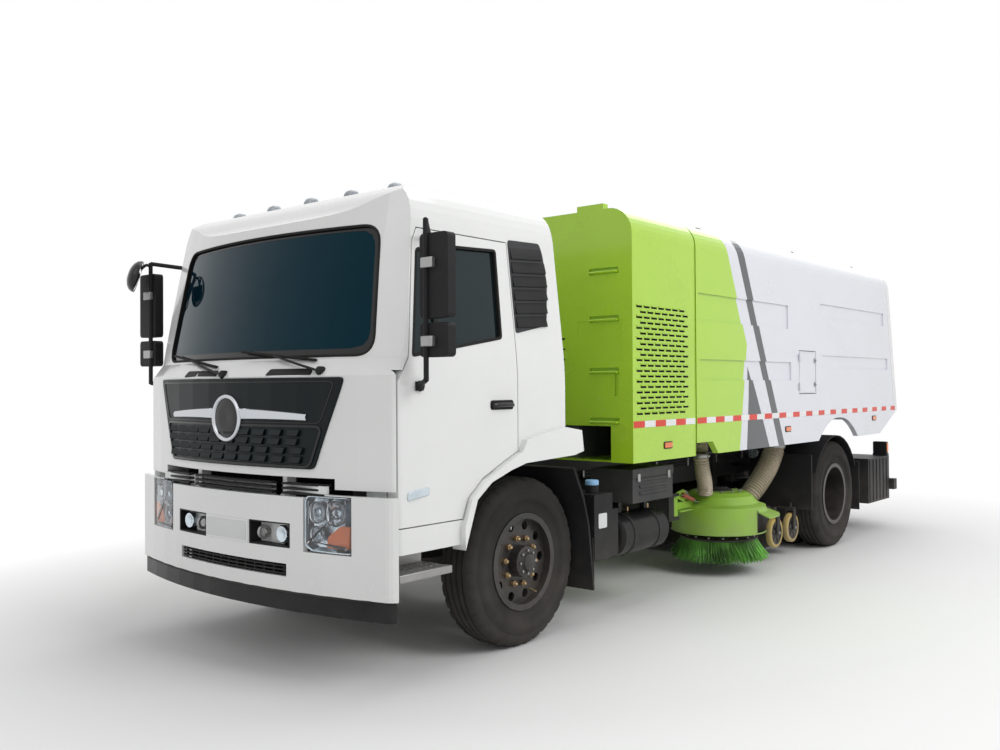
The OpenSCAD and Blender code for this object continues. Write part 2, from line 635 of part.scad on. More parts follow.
door_hinge = [hopper_rear_top - 20, body_roof + 35];
door_ear_x = [420, 760];
module rear_door() at_front_axle() color([0.93, 0.93, 0.95]) {
    intersection() {
        side_prism([[hopper_rear_low - door_t + 6, rear_edge_z - 40], [hopper_rear_low, rear_edge_z],
            [hopper_rear_top, body_roof], [hopper_rear_top - door_t + 6, body_roof]],
                -body_half, body_half);
        front_prism(body_section(0, body_floor), 5000, 7000);
    }
    both_sides() for (x = door_ear_x)
        difference() {
            union() {
                x_cyl(x, x + 60, door_hinge[0], door_hinge[1], 60);
                box([x, door_hinge[0] - 30, body_roof - 1], [x + 60, door_hinge[0] + 20, door_hinge[1]]);
            }
            x_cyl(x - through, x + 61, door_hinge[0], door_hinge[1], 30 + 2 * seat_gap);
        }
}

tail_y = wheelbase + 1830;
tail_z = 820;
module rear_mudguards() at_front_axle() color([0.07, 0.07, 0.08]) both_sides() {
    x0 = twin_x - twin_spacing / 2 - tyre_w / 2 - 10;
    x1 = body_half - 22;
    ring = concat(arc([wheelbase, tyre_r], tyre_r + 60, 155, 25, 12), arc([wheelbase, tyre_r],
        tyre_r + 52, 25, 155, 12));
    side_prism(ring, x0, x1);
    box([x0, wheelbase - 632, 420], [x1, wheelbase - 616, 945]);
    box([x0, wheelbase + 632, 300], [x1, wheelbase + 642, 800]);
    for (y = [wheelbase - 640, wheelbase + 600])
        box([rail_out, y, 800], [x0 + 1, y + 42, 840]);
    box([x0 - 1, wheelbase - 640, 780], [x0 + 30, wheelbase - 500, 840]);
    box([x0 - 1, wheelbase + 500, 780], [x0 + 30, wheelbase + 642, 840]);
}

module rear_underrun() at_front_axle() color([0.12, 0.12, 0.13]) {
    rear = wheelbase + rear_overhang;
    box([-1200, rear - 100, 400], [1200, rear, 520]);
    both_sides() {
        box([rail_in + 20, rail_rear, 480], [rail_out - 20, rear - 99, 560]);
        box([rail_in + 20, rail_rear, 480], [rail_out - 20, rail_rear + 60, rail_low + 100]);
        // ribbed box under the rear corner
        box([rail_out + 120, wheelbase + 1180, 300], [1150, tail_y + 40, 790]);
        box([rail_in + 20, wheelbase + 1400, 600], [rail_out + 121, rail_rear + 1, 660]);
        box([rail_in + 20, rail_rear - 70, 600], [rail_out - 20, rail_rear - 20, rail_low]);
        box([1000, tail_y - 60, 789], [1160, tail_y, tail_z]);
    }
}

/* Hoses: a tube swept along hand-set points */
left_hose_route = [[960, 2520, 1249], [960, 2520, 1030], [960, 2530, 960], [956, 2560, 880],
    [948, 2600, 810],
    [938, 2630, 760], [930, 2650, 712]];
nozzle_hose_route = [[920, 4060, 1249], [920, 4060, 1040], [915, 4030, 950], [900, 3950, 830],
    [872, 3840, 710],
    [835, 3750, 610], [800, 3705, 540], [800, 3700, 500],
    [800, 3700, 470.3]];
brush_hose_d = 130;
nozzle_hose_d = 200;
hose_sides = 12;
function ring_at(p, dir, r) = let (u = unit(dir), s = unit(cross(u, [1, 0, 0])), w = cross(u, s))
    [for (k = [0:hose_sides - 1]) p + r * (cos(k * 360 / hose_sides) * s + sin(k * 360 / hose_sides) * w)];
module hose(route, d) {
    n = len(route);
    rings = [for (i = [0:n - 1]) each ring_at(route[i], route[min(i + 1, n - 1)] - route[max(i - 1, 0)],
        d / 2)];
    polyhedron(rings, concat([[for (k = [hose_sides - 1:-1:0]) k]],
        [[for (k = [0:hose_sides - 1]) (n - 1) * hose_sides + k]],
        [for (i = [0:n - 2], k = [0:hose_sides - 1]) let (a = i * hose_sides, j = (k + 1) % hose_sides)
            [a + k, a + j, a + hose_sides + j, a + hose_sides + k]]), 10);
}
module left_brush_hose() at_front_axle() color([0.6, 0.52, 0.4]) hose(left_hose_route, brush_hose_d);
module right_brush_hose() at_front_axle() color([0.6, 0.52, 0.4]) mirror([1, 0, 0]) hose(left_hose_route,
    brush_hose_d);
module nozzle_hoses() at_front_axle() color([0.5, 0.45, 0.38]) both_sides() hose(nozzle_hose_route,
    nozzle_hose_d);

/* Cab */
cab_half = cab_w / 2;
cab_front = front_y + 20;
nose_z = 1672;
screen_lean = 11;
nose_back = 75;
nose_lean = atan(nose_back / (screen_base - nose_z));
floor_top = 1215;
front_edge_z = 1118;
corner_edge_z = 1062;
waist_z = 1720;
flank_lean = 85 / 760;
roof_bend = 240;
function cab_section(t) = let (h = cab_half - t, top = cab_roof - t,
    eave = [h - flank_lean * (top - 10 - waist_z), top - 10],
    flank = unit(eave - [h, waist_z]))
    mirrored(concat([[h, 600]], bend([h, waist_z - 120], [h, waist_z], [h, waist_z] + 120 * flank, 4),
        bend(eave - roof_bend * flank, eave, eave - [roof_bend, 0], 8), [[h - 620, top]]));
function cab_profile(t) = softened([[cab_rear - t, 500], [cab_rear - t, cab_roof - 80 - t],
    [cab_rear - 90 - t, cab_roof - 35 - t],
    [-680, cab_roof - t], [-900, cab_roof - 30 - t], [-1010, cab_roof - 90 - t],
    [-1100, cab_roof - 190 - t], [-1600, cab_roof - 330 - t], [-1600, 500]], 44, 3);

// The bulged plan outline swept upwards with a backward lean, cut between two heights.
module leaning_plan(t, back, lean, z0, z1) intersection() {
    translate([0, 0, z0]) rotate([-lean, 0, 0]) translate([0, 0, -900]) linear_extrude(2900)
        polygon([for (p = plan_outline(cab_half - t, corner_r, cab_front + back + t, 900)) [p[0],
            p[1] * cos(lean)]]);
    box([-cab_half, -1500, z0], [cab_half, 900, z1]);
}
module cab_block(t) intersection() {
    front_prism(cab_section(t), -1500, 400);
    side_prism(cab_profile(t), -cab_half, cab_half);
    union() {
        leaning_plan(t, 0, 0, 600, nose_z + 1);
        leaning_plan(t, 0, nose_lean, nose_z, screen_base + 1);
        leaning_plan(t, nose_back, screen_lean, screen_base, cab_roof + 20);
    }
}

arch_edge = [[-709, 700], [-606, 971], [-480, 1060], [-300, 1118], [-161, 1150], [338, 1169], [439, 1190]];
door_outline = [[-1180, 872], [-690, 872], [-645, 985], [-520, 1085], [-310, 1178], [-195, 1225],
    [-195, 2478], [-962, 2478], [-1004, 2400], [-1100, 1766], [-1180, 1640]];
door_in = cab_half - 180;
door_pivot = [cab_half - 6, -1181];
// How far the door's rim reaches inwards, following the cab's side.
door_depth = [[cab_half + 60, 600], [cab_half + 60, 2600], [door_in, 2600], [cab_half - 85, 1720],
    [cab_half - 85, 600]];
window_outline = softened([[-1078, 1768], [-312, 1890], [-298, 2428], [-720, 2410], [-984, 2368]], 26, 3);
screen_outline = softened([[-1000, screen_base + 12], [1000, screen_base + 12], [930, screen_top],
    [-930, screen_top]],
    120);

module cab_shell() at_front_axle() color([0.95, 0.95, 0.94]) {
    difference() {
        union() {
            intersection() {
                cab_block(0);
                union() {
                    box([-cab_half, -1500, cab_floor], [cab_half, 400, 3000]);
                    both_sides() {
                        box([940, -1182, 730], [cab_half, -600, cab_floor + 1]);
                        box([slot_half + 30, -1400, corner_edge_z], [cab_half, -1181, cab_floor + 1]);
                    }
                }
            }
            both_sides() side_prism(concat(arch_edge, [[419, 1324], [250, 1350], [-150, 1290],
                [-195, 1216], [-310, 1168],
                [-524, 1074], [-652, 976], [-712, 830]]), cab_half - 60, cab_half + 40);
        }
        intersection() {
            cab_block(cab_wall);
            union() {
                box([-cab_half, -1500, floor_top], [cab_half, 400, 3000]);
                both_sides() box([slot_half + 30, -1400, corner_edge_z - 1], [cab_half, -1181, cab_floor]);
            }
        }
        both_sides() {
            box([880, -1150, 866], [cab_half - cab_wall - 5, -720, floor_top + 1]);
            // pocket the door's front edge turns into
            intersection() {
                z_cyl(866, 1700, door_pivot[0], door_pivot[1], 180);
                box([900, door_pivot[1] - panel_gap, 860], [cab_half + 20, -1080, 1710]);
            }
            difference() {
                intersection() {
                    side_prism(outset(door_outline, panel_gap), door_in - panel_gap, cab_half + 20);
                    front_prism(outset(door_depth, panel_gap), -1500, 100);
                }
                cab_block(cab_wall + 10);
            }
            side_prism(concat([[-709, 590]], arch_edge, [[500, 1190], [500, 590]]), 500, cab_half + 60);
        }
        front_prism(screen_outline, -1500, -900);
    }
    // door stop at the rear jamb
    both_sides() {
        box([cab_half - 65, -215, 1300], [cab_half - cab_wall - seat_gap, -160, 1590]);
        box([cab_half - 65, -188, 1300], [cab_half - cab_wall + 5, -160, 1590]);
    }
    both_sides() difference() {
        union() {
            x_cyl(cab_ear_in, cab_ear_in + 36, cab_pivot_y, cab_pivot_z, 80);
            box([cab_ear_in, cab_pivot_y - 5, cab_pivot_z],
                [cab_ear_in + 36, cab_pivot_y + 60, cab_floor + 1]);
        }
        x_cyl(cab_ear_in - through, cab_ear_in + 37, cab_pivot_y, cab_pivot_z, cab_pin_d + 2 * seat_gap);
    }
}

grille_outline = softened([[-690, 1166], [690, 1166], [742, 1300], [862, 1600], [884, 1666], [-884, 1666],
    [-862, 1600], [-742, 1300]], 28, 4);
module grille() at_front_axle() color([0.14, 0.18, 0.18]) intersection() {
    difference() {
        plan_prism(plan_outline(cab_half + 12, corner_r, cab_front - 12, 0), 1150, nose_z - 1);
        plan_prism(plan_outline(cab_half, corner_r, cab_front, 1), 1149, nose_z);
    }
    front_prism(grille_outline, -1500, -1100);
}

module windscreen() at_front_axle() color([0.2, 0.28, 0.36, 0.5]) intersection() {
    difference() {
        cab_block(14);
        cab_block(20);
    }
    front_prism(outset(screen_outline, -seat_gap), -1500, -900);
}

module dashboard() at_front_axle() color([0.2, 0.2, 0.21]) difference() {
    intersection() {
        cab_block(cab_wall + seat_gap);
        side_prism([[-1400, floor_top], [-960, floor_top], [-880, 1560], [-900, 1700], [-1000, 1760],
            [-1400, 1760]],
            -door_in, door_in);
    }
    both_sides() box([250, -1180, floor_top - through], [1000, -870, 1540]);
    translate(wheel_centre) rotate([wheel_tilt, 0, 0]) translate([0, 0, -600]) cylinder(h = 600, d = 90);
}

module seat(x) {
    box([x - 190, -330, floor_top], [x + 190, -40, 1460]);
    side_prism(concat(arc([-420, 1515], 55, 90, 270, 6), arc([10, 1505],
        45, 270, 360, 4), [[55, 1570]]), x - 250, x + 250);
    side_prism(concat([[58, 1545]], arc([105, 1550], 45, 270, 360, 4), arc([195, 2130],
        50, 0, 180, 6)), x - 240, x + 240);
    side_prism(concat(arc([190, 2225], 40, 180, 360, 6), arc([195, 2330],
        35, 0, 180, 6)), x - 140, x + 140);
    for (dx = [-60, 60]) bar([x + dx, 192, 2170], [x + dx, 192, 2200], 16);
}
module seats() at_front_axle() color([0.16, 0.16, 0.17]) both_sides() seat(620);

wheel_centre = [620, -640, 1720];
wheel_tilt = -30;
module steering_wheel() at_front_axle() color([0.1, 0.1, 0.1]) translate(wheel_centre)
    rotate([wheel_tilt, 0, 0]) {
    rotate_extrude() translate([210, 0]) circle(d = 32);
    for (a = [0, 120, 240]) rotate([0, 0, a + 90]) translate([0, -15, -12]) cube([200, 30, 18]);
    translate([0, 0, -30]) cylinder(h = 40, d = 120);
    translate([0, 0, -565.5]) cylinder(h = 543.5, d = 60);
}

module door_panel() difference() {
    intersection() {
        side_prism(door_outline, door_in, cab_half + 10);
        front_prism(door_depth, -1500, 100);
        difference() {
            cab_block(0);
            cab_block(cab_wall);
        }
    }
    side_prism(window_outline, 800, cab_half + 10);
}
module door_glass() intersection() {
    side_prism(outset(window_outline, -seat_gap), 800, cab_half + 10);
    difference() {
        cab_block(18);
        cab_block(24);
    }
}
arm_x = 1330;
arm_y = -1120;
module door_mirrors() {
    arm_d = 28;
    top_pad = [cab_half - 85 * (2410 - 1720) / 760 + seat_gap, -900, 2410];
    low_pad = [cab_half + seat_gap, -1060, 1590];
    for (p = [top_pad, low_pad]) box(p, p + [14, 50, 50]);
    bar(top_pad + [7, 25, 25], [arm_x, arm_y, 2476], arm_d);
    bar([arm_x, arm_y, 2482], [arm_x, arm_y, 1640], arm_d);
    bar([arm_x, arm_y, 1648], low_pad + [7, 25, 25], arm_d);
    for (s = [[1966, 2406], [1764, 1941]])
        hull() for (x = [arm_x - 25, arm_x + 125], z = [s[0] + 25, s[1] - 25])
            translate([x, arm_y + 6, z]) rotate([-90, 0, 0]) cylinder(h = 60, d = 50, $fn = 24);
}
module left_door() at_front_axle() color([0.95, 0.95, 0.94]) door_panel();
module right_door() at_front_axle() color([0.95, 0.95, 0.94]) mirror([1, 0, 0]) door_panel();
module left_window() at_front_axle() color([0.2, 0.25, 0.3, 0.5]) door_glass();
module right_window() at_front_axle() color([0.2, 0.25, 0.3, 0.5]) mirror([1, 0, 0]) door_glass();
module left_mirrors() at_front_axle() color([0.06, 0.06, 0.06]) door_mirrors();
module right_mirrors() at_front_axle() color([0.06, 0.06, 0.06]) mirror([1, 0, 0]) door_mirrors();

/* Rams */
ram_span = ram_eye - ram_foot;
ram_len = norm(ram_span);
ram_angle = atan2(ram_span[1], ram_span[0]);
// Draws along +Y from the foot, then tips the result up to the ram's rest angle.
module along_ram(x) translate([x, ram_foot[0], ram_foot[1]]) rotate([ram_angle, 0, 0]) children();
module tip_barrels() at_front_axle() color([0.75, 0.1, 0.08]) both_sides() along_ram(ram_x) difference() {
    union() {
        x_cyl(-ram_foot_w / 2, ram_foot_w / 2, 0, 0, 72);
        y_cyl(15, 81, 0, 0, 44);
        y_cyl(80, ram_len - 130, 0, 0, ram_d);
    }
    y_cyl(120, ram_len, 0, 0, ram_rod_d + 2 * seat_gap);
    x_cyl(-ram_foot_w, ram_foot_w, 0, 0, ram_foot_pin_d + 2 * seat_gap);
}
module tip_rods() at_front_axle() color([0.75, 0.76, 0.78]) both_sides() along_ram(ram_x) {
    y_cyl(140, ram_len - 20, 0, 0, ram_rod_d);
    x_cyl(-25, 25, ram_len, 0, 80);
}

/* Side brushes */
hood_r = 400;
hood_low = 355;
hood_top = 600;
brush_low_r = brush_d / 2;
rear_sector = [[0, 0], [900, -160], [900, 900], [-900, 900], [-900, 400]];
module brush_arm() {
    difference() {
        union() {
            z_cyl(brush_pivot_z - brush_boss_h / 2, brush_pivot_z + brush_boss_h / 2, brush_pivot_x,
                brush_pivot_y, 80);
            box([brush_pivot_x - 30, brush_pivot_y + 20, brush_pivot_z - 30],
                [brush_pivot_x + 30, brush_y - 200, brush_pivot_z + 30]);
        }
        z_cyl(brush_pivot_z - 100, brush_pivot_z + 100, brush_pivot_x, brush_pivot_y,
            brush_pin_d + 2 * seat_gap);
    }
    translate([brush_x, brush_y, 0]) {
        // crown with a drum wall, which is cut away over the inner rear half
        difference() {
            rotate_extrude() polygon([[0, hood_top - 10], [hood_r - 62, hood_top - 10],
                [hood_r - 8, hood_top - 28],
                [hood_r - 8, hood_low], [hood_r, hood_low], [hood_r, hood_top - 20],
                    [hood_r - 60, hood_top],
                [hood_r - 110, hood_top + 60], [hood_r - 160, hood_top + 90], [60, hood_top + 98],
                    [0, hood_top + 98]]);
            plan_prism(rear_sector, hood_low - through, hood_top - 50);
        }
        // flared rim in its place
        intersection() {
            rotate_extrude() polygon([[hood_r - 6, hood_top - 30], [hood_r + 20, hood_top - 60],
                [hood_r + 115, hood_top - 95], [hood_r + 115, hood_top - 103], [hood_r + 12, hood_top - 68],
                [hood_r - 6, hood_top - 50]]);
            plan_prism(rear_sector, hood_low, hood_top);
        }
        z_cyl(420, hood_top - 7, 0, 0, 180);
        z_cyl(330, 421, 0, 0, 50);
    }
}
module brush() translate([brush_x, brush_y, 0]) difference() {
    union() {
        z_cyl(290, 345, 0, 0, 660);
        z_cyl(344, 410, 0, 0, 150);
        rotate_extrude() polygon([[200, 291], [330, 291], [brush_low_r, brush_clear],
            [brush_low_r - 130, brush_clear]]);
    }
    z_cyl(320, 420, 0, 0, 50 + 2 * seat_gap);
}
module left_brush_arm() at_front_axle() color([0.62, 0.86, 0.08]) brush_arm();
module right_brush_arm() at_front_axle() color([0.62, 0.86, 0.08]) mirror([1, 0, 0]) brush_arm();
module left_brush() at_front_axle() color([0.1, 0.5, 0.15]) brush();
module right_brush() at_front_axle() color([0.1, 0.5, 0.15]) mirror([1, 0, 0]) brush();

/* Suction nozzle on its four castors */
nozzle_y = [3500, 4010];
nozzle_low = 150;
nozzle_top = 470;
castor_at = [[1085, 3670], [1070, 4070]];
castor_w = 55;
castor_pin_d = 24;
castor_turn = 0;
castor_z = castor_clear + castor_d / 2;
module castor_fork(p) translate([p[0], p[1], castor_z]) rotate([0, 0, castor_turn]) {
    for (s = [-1, 1]) box([s * 40 - 5, -30, -25], [s * 40 + 5, 30, castor_d / 2 + 25]);
    box([-45, -30, castor_d / 2 + 15], [45, 30, castor_d / 2 + 30]);
    x_cyl(-44, 44, 0, 0, castor_pin_d);
    z_cyl(castor_d / 2 + 29, castor_d / 2 + 90, 0, 0, 30);
}
module castor(p) translate([p[0], p[1], castor_z]) rotate([0, 0, castor_turn]) difference() {
    turned_x([[-castor_w / 2 + 8, castor_d / 2], [castor_w / 2 - 8, castor_d / 2],
        [castor_w / 2, castor_d / 2 - 12],
        [castor_w / 2, 0], [-castor_w / 2, 0], [-castor_w / 2, castor_d / 2 - 12]]);
    x_cyl(-castor_w, castor_w, 0, 0, castor_pin_d + 2 * seat_gap);
}
module suction_nozzle() at_front_axle() color([0.15, 0.15, 0.16]) {
    difference() {
        side_prism([[nozzle_y[0], nozzle_low], [nozzle_y[1], nozzle_low], [nozzle_y[1], 300],
            [nozzle_y[1] - 130, nozzle_top], [nozzle_y[0] + 130, nozzle_top], [nozzle_y[0], 300]],
            -nozzle_w / 2, nozzle_w / 2);
        side_prism([[nozzle_y[0] + 12, nozzle_low - through], [nozzle_y[1] - 12, nozzle_low - through],
            [nozzle_y[1] - 12, 292], [nozzle_y[1] - 137, nozzle_top - 12],
                [nozzle_y[0] + 137, nozzle_top - 12],
            [nozzle_y[0] + 12, 292]], -nozzle_w / 2 + 12, nozzle_w / 2 - 12);
        both_sides() z_cyl(nozzle_top - 20, nozzle_top + through, 800, 3700, nozzle_hose_d - 10);
    }
    both_sides() {
        // guide that slides along the frame rail's outer face
        box([rail_out + seat_gap, 3720, nozzle_top - 1], [rail_out + 20, 3800, rail_top - 60]);
        for (p = castor_at) castor_fork(p);
        for (p = castor_at) box([nozzle_w / 2 - 1, p[1] - 30, castor_z + castor_d / 2 + 30],
            [p[0] + 40, p[1] + 30, castor_z + castor_d / 2 + 50]);
        box([nozzle_w / 2 - 12, nozzle_y[0] + 100, 300],
            [nozzle_w / 2, nozzle_y[1] + 90, castor_z + castor_d / 2 + 50]);
    }
}
module front_left_castor() at_front_axle() color([0.85, 0.7, 0.2]) castor(castor_at[0]);
module rear_left_castor() at_front_axle() color([0.85, 0.7, 0.2]) castor(castor_at[1]);
module front_right_castor() at_front_axle() color([0.85, 0.7, 0.2]) mirror([1, 0, 0]) castor(castor_at[0]);
module rear_right_castor() at_front_axle() color([0.85, 0.7, 0.2]) mirror([1, 0, 0]) castor(castor_at[1]);

chassis_frame();
front_axle();
rear_axle();
leaf_springs();
engines();
front_bumper();
lamps();
front_mudguards();
entry_steps();
urea_tank();
air_tanks();
battery_box();
fuel_tank();
silencer();
fan_housing();
rear_mudguards();
rear_underrun();
left_brush_hose();
right_brush_hose();
nozzle_hoses();
cab_shell();
grille();
windscreen();
dashboard();
seats();
steering_wheel();
left_door();
left_window();
left_mirrors();
right_door();
right_window();
right_mirrors();
left_knuckle();
right_knuckle();
tie_rod();
left_front_tyre();
left_front_rim();
right_front_tyre();
right_front_rim();
left_rear_tyres();
left_rear_rims();
right_rear_tyres();
right_rear_rims();
hopper();
roof_duct();
rear_door();
side_hatch();
tip_barrels();
tip_rods();
left_brush_arm();
right_brush_arm();
left_brush();
right_brush();
suction_nozzle();
front_left_castor();
front_right_castor();
rear_left_castor();
rear_right_castor();
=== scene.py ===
"""Looks of a street sweeper truck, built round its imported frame.

Each sub-assembly is a class that keeps its sizes as fields, makes its meshes and dresses them in a
finish. Geometry Nodes make what repeats, and shader groups hold the effects that finishes share.
"""

import json
import logging
import math
from dataclasses import dataclass, field
from enum import Enum
from typing import Callable, Iterable, Sequence

import bmesh
import bpy
from mathutils import Matrix, Vector

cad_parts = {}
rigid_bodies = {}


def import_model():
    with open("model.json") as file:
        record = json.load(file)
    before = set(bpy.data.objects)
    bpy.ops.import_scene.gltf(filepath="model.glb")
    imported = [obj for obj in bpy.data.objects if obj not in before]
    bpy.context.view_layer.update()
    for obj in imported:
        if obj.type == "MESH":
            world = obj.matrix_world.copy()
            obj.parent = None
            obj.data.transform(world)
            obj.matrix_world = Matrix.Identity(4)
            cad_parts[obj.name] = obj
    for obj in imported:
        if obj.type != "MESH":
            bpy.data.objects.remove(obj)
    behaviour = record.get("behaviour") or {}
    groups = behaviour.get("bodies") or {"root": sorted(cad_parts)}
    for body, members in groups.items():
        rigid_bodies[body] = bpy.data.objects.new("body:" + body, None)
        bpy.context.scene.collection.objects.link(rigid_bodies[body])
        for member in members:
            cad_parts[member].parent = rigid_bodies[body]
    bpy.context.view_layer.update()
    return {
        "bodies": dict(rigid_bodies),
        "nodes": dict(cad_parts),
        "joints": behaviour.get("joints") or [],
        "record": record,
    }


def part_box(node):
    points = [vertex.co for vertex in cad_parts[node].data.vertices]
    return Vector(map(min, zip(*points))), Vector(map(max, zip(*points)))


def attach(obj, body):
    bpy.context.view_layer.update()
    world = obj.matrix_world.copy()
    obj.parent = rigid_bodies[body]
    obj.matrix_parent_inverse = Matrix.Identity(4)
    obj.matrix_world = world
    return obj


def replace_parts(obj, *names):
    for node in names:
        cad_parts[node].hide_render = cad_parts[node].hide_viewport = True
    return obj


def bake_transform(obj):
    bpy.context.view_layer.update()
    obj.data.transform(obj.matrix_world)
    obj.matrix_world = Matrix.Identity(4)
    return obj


log = logging.getLogger("sweeper")
Point = tuple[float, float, float]
Pair = tuple[float, float]
Colour = tuple[float, float, float]
MM = 0.001
WHEELBASE = 4800
REAR_OVERHANG = 1980
SMOOTH_ANGLE = 35.0
BEVEL_ANGLE = 40.0
BEVEL_STEPS = 2
MERGE_WITHIN = 1e-6


class Side(Enum):
    """A side of the truck; the value is the sign of its x."""

    LEFT = 1
    RIGHT = -1

    @property
    def word(self) -> str:
        """The side's name as the bodies use it."""
        return self.name.lower()


class Axis(Enum):
    """The axis that an outline is pushed or turned along."""

    X = 0
    Y = 1
    Z = 2


@dataclass(frozen=True)
class Datum:
    """Where the truck's own measuring lines lie in the frame.

    Sizes in the classes below are in millimetres: x to the truck's left, y rearwards from the
    front axle and z up from the road.
    """

    axle_y: float

    def place(self, x: float, y: float, z: float) -> Vector:
        """Turns a measured place into a point of the frame in metres."""
        return Vector((x * MM, y * MM + self.axle_y, z * MM))

    @classmethod
    def of_frame(cls) -> "Datum":
        """Reads the front axle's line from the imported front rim."""
        low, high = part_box("left_front_rim")
        return cls((low.y + high.y) / 2)


# ---------------------------------------------------------------- shader groups


class Nodes:
    """A thin helper that adds and joins nodes in one tree."""

    def __init__(self, tree: bpy.types.NodeTree) -> None:
        """Keeps the tree.

        Args:
            tree: The shader or geometry tree to build in.
        """
        self.tree = tree

    def add(self, kind: str, **settings: object) -> bpy.types.Node:
        """Adds a node and sets its properties.

        Args:
            kind: The node's Blender type name.
            settings: Properties to set on it.

        Returns:
            The new node.
        """
        node = self.tree.nodes.new(kind)
        for name, value in settings.items():
            setattr(node, name, value)
        return node

    def feed(self, node: bpy.types.Node, **values: object) -> bpy.types.Node:
        """Sets or links a node's inputs by name.

        Args:
            node: The node.
            values: Values or sockets by input name, with underscores for spaces.

        Returns:
            The node.
        """
        for name, value in values.items():
            self.put(node.inputs[name.replace("_", " ")], value)
        return node

    def put(self, socket: bpy.types.NodeSocket, value: object) -> None:
        """Links a socket to another socket, or sets its default value.

        Args:
            socket: The input.
            value: A socket, a plain value, or None to leave the input alone.
        """
        if isinstance(value, bpy.types.NodeSocket):
            self.tree.links.new(value, socket)
        elif value is not None:
            socket.default_value = value

    def math(self, operation: str, a: object, b: object = None, clamp: bool = False) -> bpy.types.NodeSocket:
        """Adds a Math node and returns its result.

        Args:
            operation: The operation.
            a: The first input.
            b: The second input.
            clamp: Whether the result is kept within 0 and 1.

        Returns:
            The result.
        """
        node = self.add("ShaderNodeMath", operation=operation, use_clamp=clamp)
        self.put(node.inputs[0], a)
        self.put(node.inputs[1], b)
        return node.outputs[0]

    def remap(self, value: object, low: object, high: object, start: object = 0.0,
            end: object = 1.0) -> bpy.types.NodeSocket:
        """Adds a clamped Map Range node and returns its result.

        Args:
            value: The input.
            low: The value that gives the start.
            high: The value that gives the end.
            start: The lowest result.
            end: The highest result.

        Returns:
            The result.
        """
        node = self.add("ShaderNodeMapRange", clamp=True)
        for index, item in enumerate((value, low, high, start, end)):
            self.put(node.inputs[index], item)
        return node.outputs[0]

    def blend(self, share: object, first: object, second: object) -> bpy.types.NodeSocket:
        """Mixes two colours by a share and returns the result.

        Args:
            share: The second colour's share.
            first: The first colour.
            second: The second colour.

        Returns:
            The mixed colour.
        """
        node = self.add("ShaderNodeMix", data_type="RGBA", clamp_factor=True)
        self.put(node.inputs[0], share)
        for index, colour in ((6, first), (7, second)):
            self.put(node.inputs[index], (*colour, 1.0) if isinstance(colour, tuple) else colour)
        return node.outputs[2]

    def noise(self, where: object, scale: object, detail: float = 3.0) -> bpy.types.NodeSocket:
        """Adds a Noise Texture and returns its factor."""
        node = self.feed(self.add("ShaderNodeTexNoise"), Vector=where, Scale=scale, Detail=detail)
        return node.outputs["Fac"]

    def group(self, tree: bpy.types.NodeTree, **values: object) -> bpy.types.Node:
        """Places a shared shader group with its own values."""
        return self.feed(self.add("ShaderNodeGroup", node_tree=tree), **values)

    def vector(self, **parts: object) -> bpy.types.NodeSocket:
        """Joins X, Y and Z into a vector and returns it."""
        return self.feed(self.add("ShaderNodeCombineXYZ"), **parts).outputs[0]

    def vector_math(self, operation: str, first: object, second: object = None) -> bpy.types.Node:
        """Adds a Vector Math node on one or two vectors.

        Args:
            operation: The operation.
            first: The first vector.
            second: The second vector, if there is one.

        Returns:
            The node.
        """
        node = self.add("ShaderNodeVectorMath", operation=operation)
        self.put(node.inputs[0], first)
        self.put(node.inputs[1], second)
        return node

    def part_of(self, vector: object, axis: Axis) -> bpy.types.NodeSocket:
        """One coordinate of a vector."""
        return self.feed(self.add("ShaderNodeSeparateXYZ"), Vector=vector).outputs[axis.value]

    def here(self) -> bpy.types.NodeSocket:
        """The Object coordinates of the point."""
        return self.add("ShaderNodeTexCoord").outputs["Object"]


